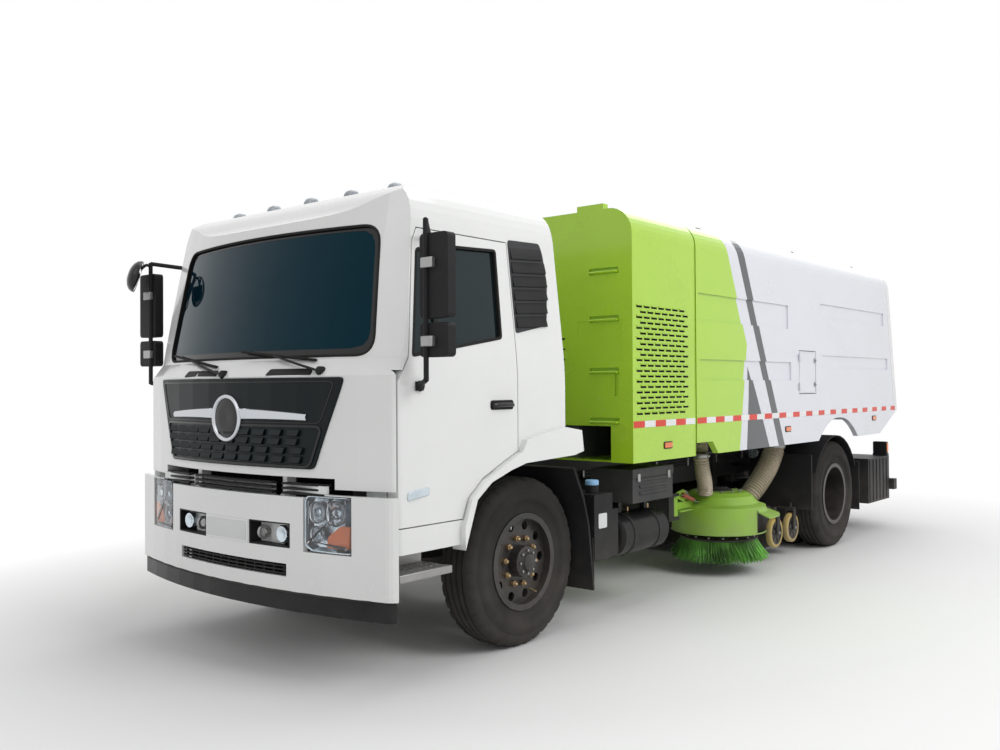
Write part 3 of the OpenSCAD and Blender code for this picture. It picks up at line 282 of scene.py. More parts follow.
class Effects:
    """The shader groups that several finishes share, each built once."""

    def __init__(self) -> None:
        """Builds the groups."""
        self.grain = self._grain()
        self.grime = self._grime()
        self.wear = self._wear()
        self.stripe = self._stripe()

    @staticmethod
    def _group(name: str, inputs: dict[str, float], outputs: Sequence[str]) -> tuple[Nodes, object, object]:
        """Starts a shader group with float sockets.

        Args:
            name: The group's name.
            inputs: Its input names with their defaults.
            outputs: Its output names.

        Returns:
            The node helper, the group's input node and its output node.
        """
        tree = bpy.data.node_groups.new(name, "ShaderNodeTree")
        for label, value in inputs.items():
            tree.interface.new_socket(label, in_out="INPUT",
                socket_type="NodeSocketFloat").default_value = value
        for label in outputs:
            tree.interface.new_socket(label, in_out="OUTPUT", socket_type="NodeSocketFloat")
        nodes = Nodes(tree)
        return nodes, nodes.add("NodeGroupInput"), nodes.add("NodeGroupOutput")

    def _grain(self) -> bpy.types.NodeTree:
        """Fine surface texture: a height, and a slow change of tone.

        Returns:
            The group.
        """
        n, given, out = self._group("fine_grain", {"Scale": 400.0, "Patches": 3.0}, ("Height", "Tone"))
        where = n.here()
        fine = n.noise(where, given.outputs["Scale"], 2.0)
        slow = n.noise(where, given.outputs["Patches"], 4.0)
        n.feed(out, Height=fine, Tone=n.remap(slow, 0.3, 0.7))
        return n.tree

    def _grime(self) -> bpy.types.NodeTree:
        """Road dust: thick near the road, thin above, in soft patches.

        Returns:
            The group.
        """
        n, given, out = self._group("road_grime", {"Low": 0.3, "High": 1.2, "Amount": 0.5, "Scale": 5.0,
            "Everywhere": 0.05}, ("Mask",))
        where = n.here()
        height = n.part_of(where, Axis.Z)
        fall = n.remap(height, given.outputs["Low"], given.outputs["High"], 1.0, 0.0)
        patches = n.remap(n.noise(where, given.outputs["Scale"], 6.0), 0.35, 0.7, 0.35, 1.0)
        low = n.math("MULTIPLY", n.math("MULTIPLY", fall, patches), given.outputs["Amount"])
        thin = n.math("MULTIPLY", patches, given.outputs["Everywhere"])
        n.feed(out, Mask=n.math("ADD", low, thin, clamp=True))
        return n.tree

    def _wear(self) -> bpy.types.NodeTree:
        """Rubbed edges: where the rounded normal leaves the flat one, broken up by noise.

        Returns:
            The group.
        """
        n, given, out = self._group("edge_wear", {"Amount": 0.5, "Scale": 25.0}, ("Mask",))
        round_edge = n.feed(n.add("ShaderNodeBevel", samples=4), Radius=0.006)
        flat = n.add("ShaderNodeNewGeometry").outputs["Normal"]
        facing = n.vector_math("DOT_PRODUCT", round_edge.outputs[0], flat)
        edge = n.remap(facing.outputs["Value"], 0.97, 0.8)
        where = n.here()
        rubbed = n.remap(n.noise(where, given.outputs["Scale"], 5.0), 0.42, 0.6)
        worn = n.math("MULTIPLY", edge, rubbed)
        n.feed(out, Mask=n.math("MULTIPLY", worn, given.outputs["Amount"], clamp=True))
        return n.tree

    def _stripe(self) -> bpy.types.NodeTree:
        """How far a point lies behind a line drawn down the side with one bend.

        Returns:
            The group.
        """
        names = ("Top Y", "Bend Y", "Foot Y", "Top Z", "Bend Z", "Foot Z")
        n, given, out = self._group("bent_line", dict.fromkeys(names, 0.0), ("Behind",))
        where = n.here()
        height = n.part_of(where, Axis.Z)
        g = given.outputs
        upper = n.remap(height, g["Top Z"], g["Bend Z"], g["Top Y"], g["Bend Y"])
        lower = n.remap(height, g["Bend Z"], g["Foot Z"], 0.0, n.math("SUBTRACT", g["Foot Y"], g["Bend Y"]))
        past = n.math("SUBTRACT", n.part_of(where, Axis.Y), n.math("ADD", upper, lower))
        n.feed(out, Behind=n.remap(past, -0.002, 0.002))
        return n.tree


# ---------------------------------------------------------------- finishes


@dataclass(frozen=True)
class Finish:
    """A surface finish with grain, tone, dust and rubbed edges."""

    name: str
    colour: Colour
    roughness: float = 0.5
    metallic: float = 0.0
    coat: float = 0.0
    gloss: float = 0.5
    tone: float = 0.06
    grain: float = 0.05
    grain_scale: float = 500.0
    dust: float = 0.3
    dust_top: float = 1.3
    film: float = 0.04
    dust_colour: Colour = (0.30, 0.27, 0.23)
    wear: float = 0.0
    wear_colour: Colour = (0.35, 0.35, 0.36)
    edge: float = 0.003
    sheen: float = 0.0

    def paint(self, n: Nodes, effects: Effects) -> object:
        """The clean colour under the dust, which patterned finishes replace."""
        del n, effects
        return self.colour

    def build(self, effects: Effects) -> bpy.types.Material:
        """Makes the material.

        Args:
            effects: The shared shader groups.

        Returns:
            The Blender material.
        """
        material = bpy.data.materials.new(self.name)
        material.use_nodes = True
        n = Nodes(material.node_tree)
        shader = n.tree.nodes["Principled BSDF"]
        n.feed(shader, Metallic=self.metallic, Coat_Weight=self.coat, Specular_IOR_Level=self.gloss,
            Coat_Roughness=0.05, Sheen_Weight=self.sheen)
        grain = n.group(effects.grain, Scale=self.grain_scale)
        grime = n.group(effects.grime, High=self.dust_top, Amount=self.dust, Everywhere=self.film)
        base = self.paint(n, effects)
        darker = tuple(c * (1.0 - self.tone) for c in self.colour)
        shade = n.remap(grain.outputs["Tone"], 0.0, 1.0, 0.0, 1.0)
        if isinstance(base, tuple):
            colour = n.blend(shade, base, darker)
        else:
            colour = n.blend(n.math("MULTIPLY", shade, self.tone), base, (0.0, 0.0, 0.0))
        if self.wear > 0:
            rub = n.group(effects.wear, Amount=self.wear)
            colour = n.blend(rub.outputs["Mask"], colour, self.wear_colour)
        colour = n.blend(grime.outputs["Mask"], colour, self.dust_colour)
        n.put(shader.inputs["Base Color"], colour)
        rough = n.remap(grain.outputs["Tone"], 0.0, 1.0, self.roughness * 0.9, min(1.0, self.roughness * 1.15))
        n.put(shader.inputs["Roughness"], n.math("ADD", rough, n.math("MULTIPLY", grime.outputs["Mask"], 0.45),
            clamp=True))
        round_edge = n.feed(n.add("ShaderNodeBevel", samples=4), Radius=self.edge)
        bump = n.feed(n.add("ShaderNodeBump"), Strength=self.grain, Distance=0.002,
            Height=grain.outputs["Height"], Normal=round_edge.outputs[0])
        n.put(shader.inputs["Normal"], bump.outputs[0])
        return material


@dataclass(frozen=True)
class Livery(Finish):
    """Body paint with the bent green, grey and white fields of the sweeper's sides."""

    datum: Datum = field(default_factory=lambda: Datum(0.0))
    green: Colour = (0.40, 0.66, 0.02)
    grey: Colour = (0.030, 0.034, 0.042)
    lines: tuple[tuple[tuple[float, float], ...], ...] = (((2386, 2774), (2769, 1942), (2622, 1076)),
        ((2563, 2770), (2960, 1950), (3388, 1065)), ((2692, 2770), (3079, 1950), (3516, 1065)),
        ((2802, 1765), (2790, 1500), (2751, 1065)), ((2802, 1765), (2960, 1500), (3201, 1065)),)

    def paint(self, n: Nodes, effects: Effects) -> object:
        """Green ahead of the first line, a grey slash and a grey wedge behind it.

        Args:
            n: The material's nodes.
            effects: The shared shader groups.

        Returns:
            The colour's socket.
        """
        behind = []
        for line in self.lines:
            node = n.group(effects.stripe)
            for label, (y, z) in zip(("Top", "Bend", "Foot"), line):
                n.feed(node, **{f"{label} Y": y * MM + self.datum.axle_y, f"{label} Z": z * MM})
            behind.append(node.outputs["Behind"])
        slash = n.math("SUBTRACT", behind[1], behind[2], clamp=True)
        wedge = n.math("SUBTRACT", behind[3], behind[4], clamp=True)
        body = n.blend(behind[0], self.green, self.colour)
        return n.blend(n.math("MAXIMUM", slash, wedge), body, self.grey)


@dataclass(frozen=True)
class Skirted(Finish):
    """Paint above a line with plain black plastic below it."""

    line_z: float = 498.0
    skirt: Colour = (0.014, 0.014, 0.016)

    def _above(self, n: Nodes) -> object:
        """One above the line, zero below it."""
        z = n.part_of(n.here(), Axis.Z)
        return n.remap(z, self.line_z * MM - 0.0005, self.line_z * MM + 0.0005)

    def paint(self, n: Nodes, effects: Effects) -> object:
        """Paint above the line, black below."""
        del effects
        return n.blend(self._above(n), self.skirt, self.colour)

    def build(self, effects: Effects) -> bpy.types.Material:
        """Dulls the plain finish below the line.

        Args:
            effects: The shared shader groups.

        Returns:
            The Blender material.
        """
        material = super().build(effects)
        n = Nodes(material.node_tree)
        shader = n.tree.nodes["Principled BSDF"]
        above = self._above(n)
        n.feed(shader, Coat_Weight=n.math("MULTIPLY", above, self.coat),
            Specular_IOR_Level=n.remap(above, 0.0, 1.0, 0.15, self.gloss))
        return material


@dataclass(frozen=True)
class SideGlass(Finish):
    """Tinted glass whose tint shifts a little with the grain's tone."""

    tint: Colour = (0.03, 0.05, 0.07)
    clear: float = 0.5
    index: float = 1.5
    shine: Colour = (1.0, 1.0, 1.0)

    def build(self, effects: Effects) -> bpy.types.Material:
        """Makes the glass material.

        Args:
            effects: The shared shader groups.

        Returns:
            The Blender material.
        """
        material = bpy.data.materials.new(self.name)
        material.use_nodes = True
        n = Nodes(material.node_tree)
        shader = n.tree.nodes["Principled BSDF"]
        grain = n.group(effects.grain)
        grime = n.group(effects.grime, High=2.2, Amount=0.05, Everywhere=0.01)
        n.put(shader.inputs["Base Color"], n.blend(n.math("MULTIPLY", grain.outputs["Tone"], 0.2), self.colour,
            self.tint))
        n.put(shader.inputs["Roughness"], n.remap(grime.outputs["Mask"], 0.0, 1.0, self.roughness, 0.4))
        n.feed(shader, Transmission_Weight=self.clear, IOR=self.index, Specular_IOR_Level=self.gloss,
            Specular_Tint=(*self.shine, 1.0))
        return material




# ---------------------------------------------------------------- meshes


class Shape:
    """A mesh being built in the truck's own millimetres."""

    def __init__(self, datum: Datum) -> None:
        """Starts empty.

        Args:
            datum: Where the measuring lines lie.
        """
        self.datum = datum
        self.bm = bmesh.new()

    def _points(self, points: Iterable[Point]) -> list[bmesh.types.BMVert]:
        """Adds vertices at measured places."""
        return [self.bm.verts.new(self.datum.place(*p)) for p in points]

    def _skin(self, rings: Sequence[Sequence[bmesh.types.BMVert]], closed: bool, caps: bool) -> None:
        """Joins rings of vertices with faces.

        Args:
            rings: Rings with equal counts.
            closed: Whether the last ring joins the first.
            caps: Whether the two end rings are filled.
        """
        count = len(rings[0])
        pairs = list(zip(rings, rings[1:])) + ([(rings[-1], rings[0])] if closed else [])
        for a, b in pairs:
            for k in range(count):
                j = (k + 1) % count
                self.bm.faces.new((a[k], a[j], b[j], b[k]))
        if caps:
            self.bm.faces.new(list(reversed(rings[0])))
            self.bm.faces.new(rings[-1])

    def box(self, low: Point, high: Point) -> "Shape":
        """Adds a block between two corners.

        Args:
            low: The lowest corner.
            high: The highest corner.

        Returns:
            This shape.
        """
        ring = [(low[0], low[1]), (high[0], low[1]), (high[0], high[1]), (low[0], high[1])]
        self._skin([self._points((x, y, z) for x, y in ring) for z in (low[2], high[2])], False, True)
        return self

    def prism(self, outline: Sequence[Pair], axis: Axis, start: float, end: float) -> "Shape":
        """Pushes an outline along an axis.

        Args:
            outline: Points as (y, z), (x, z) or (x, y) for the X, Y or Z axis.
            axis: The axis to push along.
            start: Where the push starts.
            end: Where it ends.

        Returns:
            This shape.
        """
        def at(p: Pair, d: float) -> Point:
            """Places an outline point at a depth."""
            return {Axis.X: (d, p[0], p[1]), Axis.Y: (p[0], d, p[1]), Axis.Z: (p[0], p[1], d)}[axis]

        self._skin([self._points(at(p, d) for p in outline) for d in (start, end)], False, True)
        return self

    def lathe(self, profile: Sequence[Pair], centre: Point, axis: Axis, steps: int = 48,
            closed: bool = True) -> "Shape":
        """Turns a profile about an axis.

        Args:
            profile: Points as (along the axis, radius), each measured from the centre.
            centre: A point on the axis.
            axis: The axis.
            steps: How many steps make the turn.
            closed: Whether the profile's end joins its start.

        Returns:
            This shape.
        """
        rings = []
        for k in range(steps):
            c, s = math.cos(math.tau * k / steps), math.sin(math.tau * k / steps)
            ring = []
            for along, r in profile:
                off = {Axis.X: (along, r * c, r * s), Axis.Y: (r * c, along, r * s),
                    Axis.Z: (r * c, r * s, along)}[axis]
                ring.append(tuple(a + b for a, b in zip(centre, off)))
            rings.append(self._points(ring))
        count = len(profile)
        for a, b in zip(rings, rings[1:] + rings[:1]):
            for k in range(count if closed else count - 1):
                j = (k + 1) % count
                self.bm.faces.new((a[k], a[j], b[j], b[k]))
        return self

    def rod(self, points: Sequence[Point], radius: float, sides: int = 12, width: float = 0.0) -> "Shape":
        """Sweeps a round or flattened section along a path.

        Args:
            points: The path.
            radius: The section's radius.
            sides: Its sides.
            width: A second radius, across, if the section is oval.

        Returns:
            This shape.
        """
        path = [Vector(p) for p in points]
        rings = []
        across = Vector((0, 0, 1))
        for i, p in enumerate(path):
            ahead = (path[min(i + 1, len(path) - 1)] - path[max(i - 1, 0)]).normalized()
            if i == 0 and abs(ahead.z) > 0.9:
                across = Vector((1, 0, 0))
            across = (across - ahead * across.dot(ahead)).normalized()
            other = ahead.cross(across)
            rings.append(self._points(tuple(p + across * (radius * math.cos(math.tau * k / sides)) + other
                * ((width or radius) * math.sin(math.tau * k / sides))) for k in range(sides)))
        self._skin(rings, False, True)
        return self

    def loft(self, sections: Sequence[Sequence[Point]], caps: bool = True) -> "Shape":
        """Joins sections that hold equal counts of points."""
        self._skin([self._points(s) for s in sections], False, caps)
        return self

    def copy_to(self, side: Side) -> "Shape":
        """Mirrors the shape when the side is the right one.

        Args:
            side: The side that the shape is for.

        Returns:
            This shape.
        """
        if side is Side.RIGHT:
            bmesh.ops.scale(self.bm, vec=(-1, 1, 1), verts=self.bm.verts)
        return self

    def done(self, name: str, body: str, material: bpy.types.Material, bevel: float = 0.0,
            smooth: float = SMOOTH_ANGLE, slot: str = "") -> bpy.types.Object:
        """Makes the piece and lets it ride on its body.

        Args:
            name: The piece's name.
            body: The body that it rides on, or nothing, which leaves the piece on no body.
            material: Its finish.
            bevel: The width of its rounded edges in millimetres.
            smooth: The angle below which faces are shaded smooth.
            slot: The record's material slot, if one matches; passed on, but not used.

        Returns:
            The new object.
        """
        bmesh.ops.remove_doubles(self.bm, verts=self.bm.verts, dist=MERGE_WITHIN)
        bmesh.ops.recalc_face_normals(self.bm, faces=self.bm.faces)
        mesh = bpy.data.meshes.new(name)
        self.bm.to_mesh(mesh)
        self.bm.free()
        return Shape.finish(mesh, name, body, material, bevel, smooth, slot)

    @staticmethod
    def finish(mesh: bpy.types.Mesh, name: str, body: str, material: bpy.types.Material, bevel: float = 0.0,
            smooth: float = SMOOTH_ANGLE, slot: str = "") -> bpy.types.Object:
        """Links a mesh as a piece of the truck.

        Args:
            mesh: The mesh.
            name: The piece's name.
            body: The body that it rides on, if it is one.
            material: Its finish.
            bevel: The width of its rounded edges in millimetres.
            smooth: The angle below which faces are shaded smooth.
            slot: The record's material slot, if one matches; not used.

        Returns:
            The new object.
        """
        if not mesh.materials:
            mesh.materials.append(material)
        piece = bpy.data.objects.new(name, mesh)
        bpy.context.scene.collection.objects.link(piece)
        mesh.shade_smooth()
        mesh.set_sharp_from_angle(angle=math.radians(smooth))
        if bevel > 0:
            rounding = piece.modifiers.new("rounding", "BEVEL")
            rounding.width = bevel * MM
            rounding.segments = BEVEL_STEPS
            rounding.limit_method = "ANGLE"
            rounding.angle_limit = math.radians(BEVEL_ANGLE)
            rounding.harden_normals = False
        if body:
            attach(piece, body)
        log.info("%s rides on %s", name, body or "two bodies")
        return piece


def arc(centre: Pair, radius: float, start: float, end: float, steps: int) -> list[Pair]:
    """Points on a circle's arc, with angles in degrees."""
    angles = [math.radians(start + (end - start) * i / steps) for i in range(steps + 1)]
    return [(centre[0] + radius * math.cos(a), centre[1] + radius * math.sin(a)) for a in angles]


def rounded(low: Pair, high: Pair, radius: float, steps: int = 5) -> list[Pair]:
    """The outline of a rectangle with round corners.

    Args:
        low: The lower corner.
        high: The upper corner.
        radius: The corners' radius.
        steps: The steps in each corner.

    Returns:
        The outline.
    """
    (x0, y0), (x1, y1) = (low[0] + radius, low[1] + radius), (high[0] - radius, high[1] - radius)
    corners = (((x1, y0), -90), ((x1, y1), 0), ((x0, y1), 90), ((x0, y0), 180))
    return [p for centre, turn in corners for p in arc(centre, radius, turn, turn + 90, steps)]


def smooth_path(points: Sequence[Point], steps: int = 6) -> list[Point]:
    """A smooth curve through given points (a Catmull-Rom spline).

    Args:
        points: The points that the curve passes.
        steps: The steps between two of them.

    Returns:
        The points of the curve.
    """
    p = [Vector(q) for q in points]
    p = [2 * p[0] - p[1], *p, 2 * p[-1] - p[-2]]
    found = []
    for a, b, c, d in zip(p, p[1:], p[2:], p[3:]):
        for i in range(steps):
            t = i / steps
            found.append(tuple(0.5 * ((2 * b) + (c - a) * t + (2 * a - 5 * b + 4 * c - d) * t * t
                + (3 * b - a - 3 * c + d) * t ** 3)))
    return found + [tuple(p[-2])]


# ---------------------------------------------------------------- geometry nodes


class Pattern:
    """Geometry Nodes trees that repeat a small part, each built once."""

    def __init__(self) -> None:
        """Builds the trees."""
        self.ring = self._ring()
        self.grid = self._grid()
        self.bristles = self._bristles()

    @staticmethod
    def _tree(name: str, inputs: dict[str, tuple[str, object]]) -> tuple[Nodes, object, object]:
        """Starts a geometry tree with named inputs.

        Args:
            name: The tree's name.
            inputs: Input names with their socket type and default.

        Returns:
            The node helper, the input node and the output node.
        """
        tree = bpy.data.node_groups.new(name, "GeometryNodeTree")
        tree.interface.new_socket("Part", in_out="INPUT", socket_type="NodeSocketGeometry")
        for label, (kind, value) in inputs.items():
            socket = tree.interface.new_socket(label, in_out="INPUT", socket_type=kind)
            if value is not None:
                socket.default_value = value
        tree.interface.new_socket("Finish", in_out="INPUT", socket_type="NodeSocketMaterial")
        tree.interface.new_socket("Geometry", in_out="OUTPUT", socket_type="NodeSocketGeometry")
        n = Nodes(tree)
        return n, n.add("NodeGroupInput"), n.add("NodeGroupOutput")

    @staticmethod
    def _close(n: Nodes, given: object, out: object, instances: object) -> bpy.types.NodeTree:
        """Ends a tree: real geometry in the given finish.

        Args:
            n: The tree's nodes.
            given: Its input node.
            out: Its output node.
            instances: The geometry to dress.

        Returns:
            The tree.
        """
        real = n.feed(n.add("GeometryNodeRealizeInstances"), Geometry=instances)
        dressed = n.feed(n.add("GeometryNodeSetMaterial"), Geometry=real.outputs[0],
            Material=given.outputs["Finish"])
        n.feed(out, Geometry=dressed.outputs[0])
        return n.tree

    def _ring(self) -> bpy.types.NodeTree:
        """Parts on a circle about the x axis.

        Returns:
            The tree.
        """
        n, given, out = self._tree("parts_on_a_ring", {"Count": ("NodeSocketInt", 10),
            "Radius": ("NodeSocketFloat", 0.1), "Centre": ("NodeSocketVector", (0, 0, 0)),
            "Turn": ("NodeSocketVector", (0, 0, 0)), "Start": ("NodeSocketFloat", 0.0)})
        g = given.outputs
        circle = n.feed(n.add("GeometryNodeMeshCircle"), Vertices=g["Count"], Radius=g["Radius"])
        index = n.add("GeometryNodeInputIndex").outputs[0]
        angle = n.math("MULTIPLY", index, n.math("DIVIDE", math.tau, g["Count"]))
        placed = n.feed(n.add("GeometryNodeInstanceOnPoints"), Points=circle.outputs[0], Instance=g["Part"],
            Rotation=n.vector(Z=angle))
        turned = n.feed(n.add("GeometryNodeTransform"), Geometry=placed.outputs[0],
            Rotation=n.vector(Z=g["Start"]))
        moved = n.feed(n.add("GeometryNodeTransform"), Geometry=turned.outputs[0], Rotation=g["Turn"],
            Translation=g["Centre"])
        return self._close(n, given, out, moved.outputs[0])

    def _grid(self) -> bpy.types.NodeTree:
        """Parts in rows and columns between two steps.

        Returns:
            The tree.
        """
        n, given, out = self._tree("parts_on_a_grid", {"Columns": ("NodeSocketInt", 5),
            "Rows": ("NodeSocketInt", 1), "Start": ("NodeSocketVector", (0, 0, 0)),
            "Column Step": ("NodeSocketVector", (0, 0.1, 0)), "Row Step": ("NodeSocketVector", (0, 0, 0.1)),
            "Stagger": ("NodeSocketFloat", 0.0), "Sweep": ("NodeSocketFloat", 0.0)})
        g = given.outputs
        total = n.math("MULTIPLY", g["Columns"], g["Rows"])
        line = n.feed(n.add("GeometryNodeMeshLine"), Count=total)
        index = n.add("GeometryNodeInputIndex").outputs[0]
        row = n.math("FLOOR", n.math("DIVIDE", index, g["Columns"]))
        column = n.math("SUBTRACT", index, n.math("MULTIPLY", row, g["Columns"]))
        odd = n.math("MULTIPLY", n.math("MODULO", row, 2.0), g["Stagger"])
        spots = []
        for factor, step in ((n.math("ADD", column, odd), g["Column Step"]), (row, g["Row Step"])):
            spots.append(n.feed(n.vector_math("SCALE", step), Scale=factor).outputs[0])
        place = n.vector_math("ADD", n.vector_math("ADD", *spots).outputs[0], g["Start"]).outputs[0]
        across = n.part_of(place, Axis.X)
        back = n.math("MULTIPLY", n.math("MULTIPLY", across, across), g["Sweep"])
        held = n.feed(n.add("GeometryNodeSetPosition"), Geometry=line.outputs[0], Position=place,
            Offset=n.vector(Y=back))
        placed = n.feed(n.add("GeometryNodeInstanceOnPoints"), Points=held.outputs[0], Instance=g["Part"])
        return self._close(n, given, out, placed.outputs[0])

    def _bristles(self) -> bpy.types.NodeTree:
        """Splayed tufts in rings under a brush plate, each leaning its own way.

        Returns:
            The tree.
        """
        n, given, out = self._tree("splayed_bristles", {"Count": ("NodeSocketInt", 200),
            "Radius": ("NodeSocketFloat", 0.3), "Seed": ("NodeSocketInt", 7),
            "Centre": ("NodeSocketVector", (0, 0, 0)), "Splay": ("NodeSocketFloat", 0.35),
            "Scatter": ("NodeSocketFloat", 0.12), "Swirl": ("NodeSocketFloat", 0.15)})
        g = given.outputs
        circle = n.feed(n.add("GeometryNodeMeshCircle"), Vertices=g["Count"], Radius=g["Radius"])
        index = n.add("GeometryNodeInputIndex").outputs[0]

        def chance(low: float, high: float, more: int) -> object:
            """A fixed-seed number for each tuft.

            Args:
                low: The least number.
                high: The greatest number.
                more: What the seed is raised by.

            Returns:
                The number.
            """
            node = n.add("FunctionNodeRandomValue", data_type="FLOAT")
            n.put(node.inputs[2], low)
            n.put(node.inputs[3], high)
            n.put(node.inputs["ID"], index)
            n.put(node.inputs["Seed"], n.math("ADD", g["Seed"], float(more)))
            return node.outputs[1]

        around = n.math("MULTIPLY", index, n.math("DIVIDE", math.tau, g["Count"]))
        swirl = n.math("ADD", g["Swirl"], n.math("MULTIPLY", chance(-1, 1, 1), g["Scatter"]))
        splay = n.math("SUBTRACT", n.math("MULTIPLY", chance(-1, 1, 2), g["Scatter"]), g["Splay"])
        size = n.vector(X=chance(0.8, 1.3, 3), Y=chance(0.8, 1.3, 4), Z=chance(0.9, 1.0, 5))
        placed = n.feed(n.add("GeometryNodeInstanceOnPoints"), Points=circle.outputs[0], Instance=g["Part"],
            Rotation=n.vector(X=swirl, Y=splay, Z=around), Scale=size)
        moved = n.feed(n.add("GeometryNodeTransform"), Geometry=placed.outputs[0], Translation=g["Centre"])
        return self._close(n, given, out, moved.outputs[0])

    def make(self, tree: bpy.types.NodeTree, part: Shape, name: str, body: str, material: bpy.types.Material,
            smooth: float = SMOOTH_ANGLE, **values: object) -> bpy.types.Object:
        """Runs a tree on a part and keeps the result as a plain piece.

        Args:
            tree: The tree to run.
            part: The small shape that is repeated, drawn about the frame's origin.
            name: The piece's name.
            body: The body that it rides on.
            material: Its finish.
            smooth: The shading angle.
            values: The tree's inputs by name, with underscores for spaces.

        Returns:
            The new object.
        """
        bmesh.ops.recalc_face_normals(part.bm, faces=part.bm.faces)
        mesh = bpy.data.meshes.new(f"{name}_part")
        part.bm.to_mesh(mesh)
        part.bm.free()
        seed = bpy.data.objects.new(f"{name}_part", mesh)
        bpy.context.scene.collection.objects.link(seed)
        modifier = seed.modifiers.new("repeat", "NODES")
        modifier.node_group = tree
        sockets = {s.name: s.identifier for s in tree.interface.items_tree if s.in_out == "INPUT"}
        modifier[sockets["Finish"]] = material
        for label, value in values.items():
            modifier[sockets[label.replace("_", " ")]] = value
        bpy.context.view_layer.update()
        whole = bpy.data.meshes.new_from_object(seed.evaluated_get(bpy.context.evaluated_depsgraph_get()))
        bpy.data.objects.remove(seed)
        bpy.data.meshes.remove(mesh)
        return Shape.finish(whole, name, body, material, 0.0, smooth)


ORIGIN = Datum(0.0)


def peg(length: float, radius: float, sides: int = 6, tip: float = 0.0) -> Shape:
    """A small peg along z, drawn at the origin, such as a nut, a bolt head or a tuft.

    Args:
        length: Its length.
        radius: Its radius at the foot.
        sides: How many sides it has.
        tip: Its radius at the end, if that differs.

    Returns:
        The peg.
    """
    far = tip or radius
    ring = [math.tau * k / sides for k in range(sides)]
    shape = Shape(ORIGIN)
    return shape.loft([[(r * math.cos(a), r * math.sin(a), z) for a in ring] for z,
        r in ((0.0, radius), (length, far))])


# ---------------------------------------------------------------- the paint shop


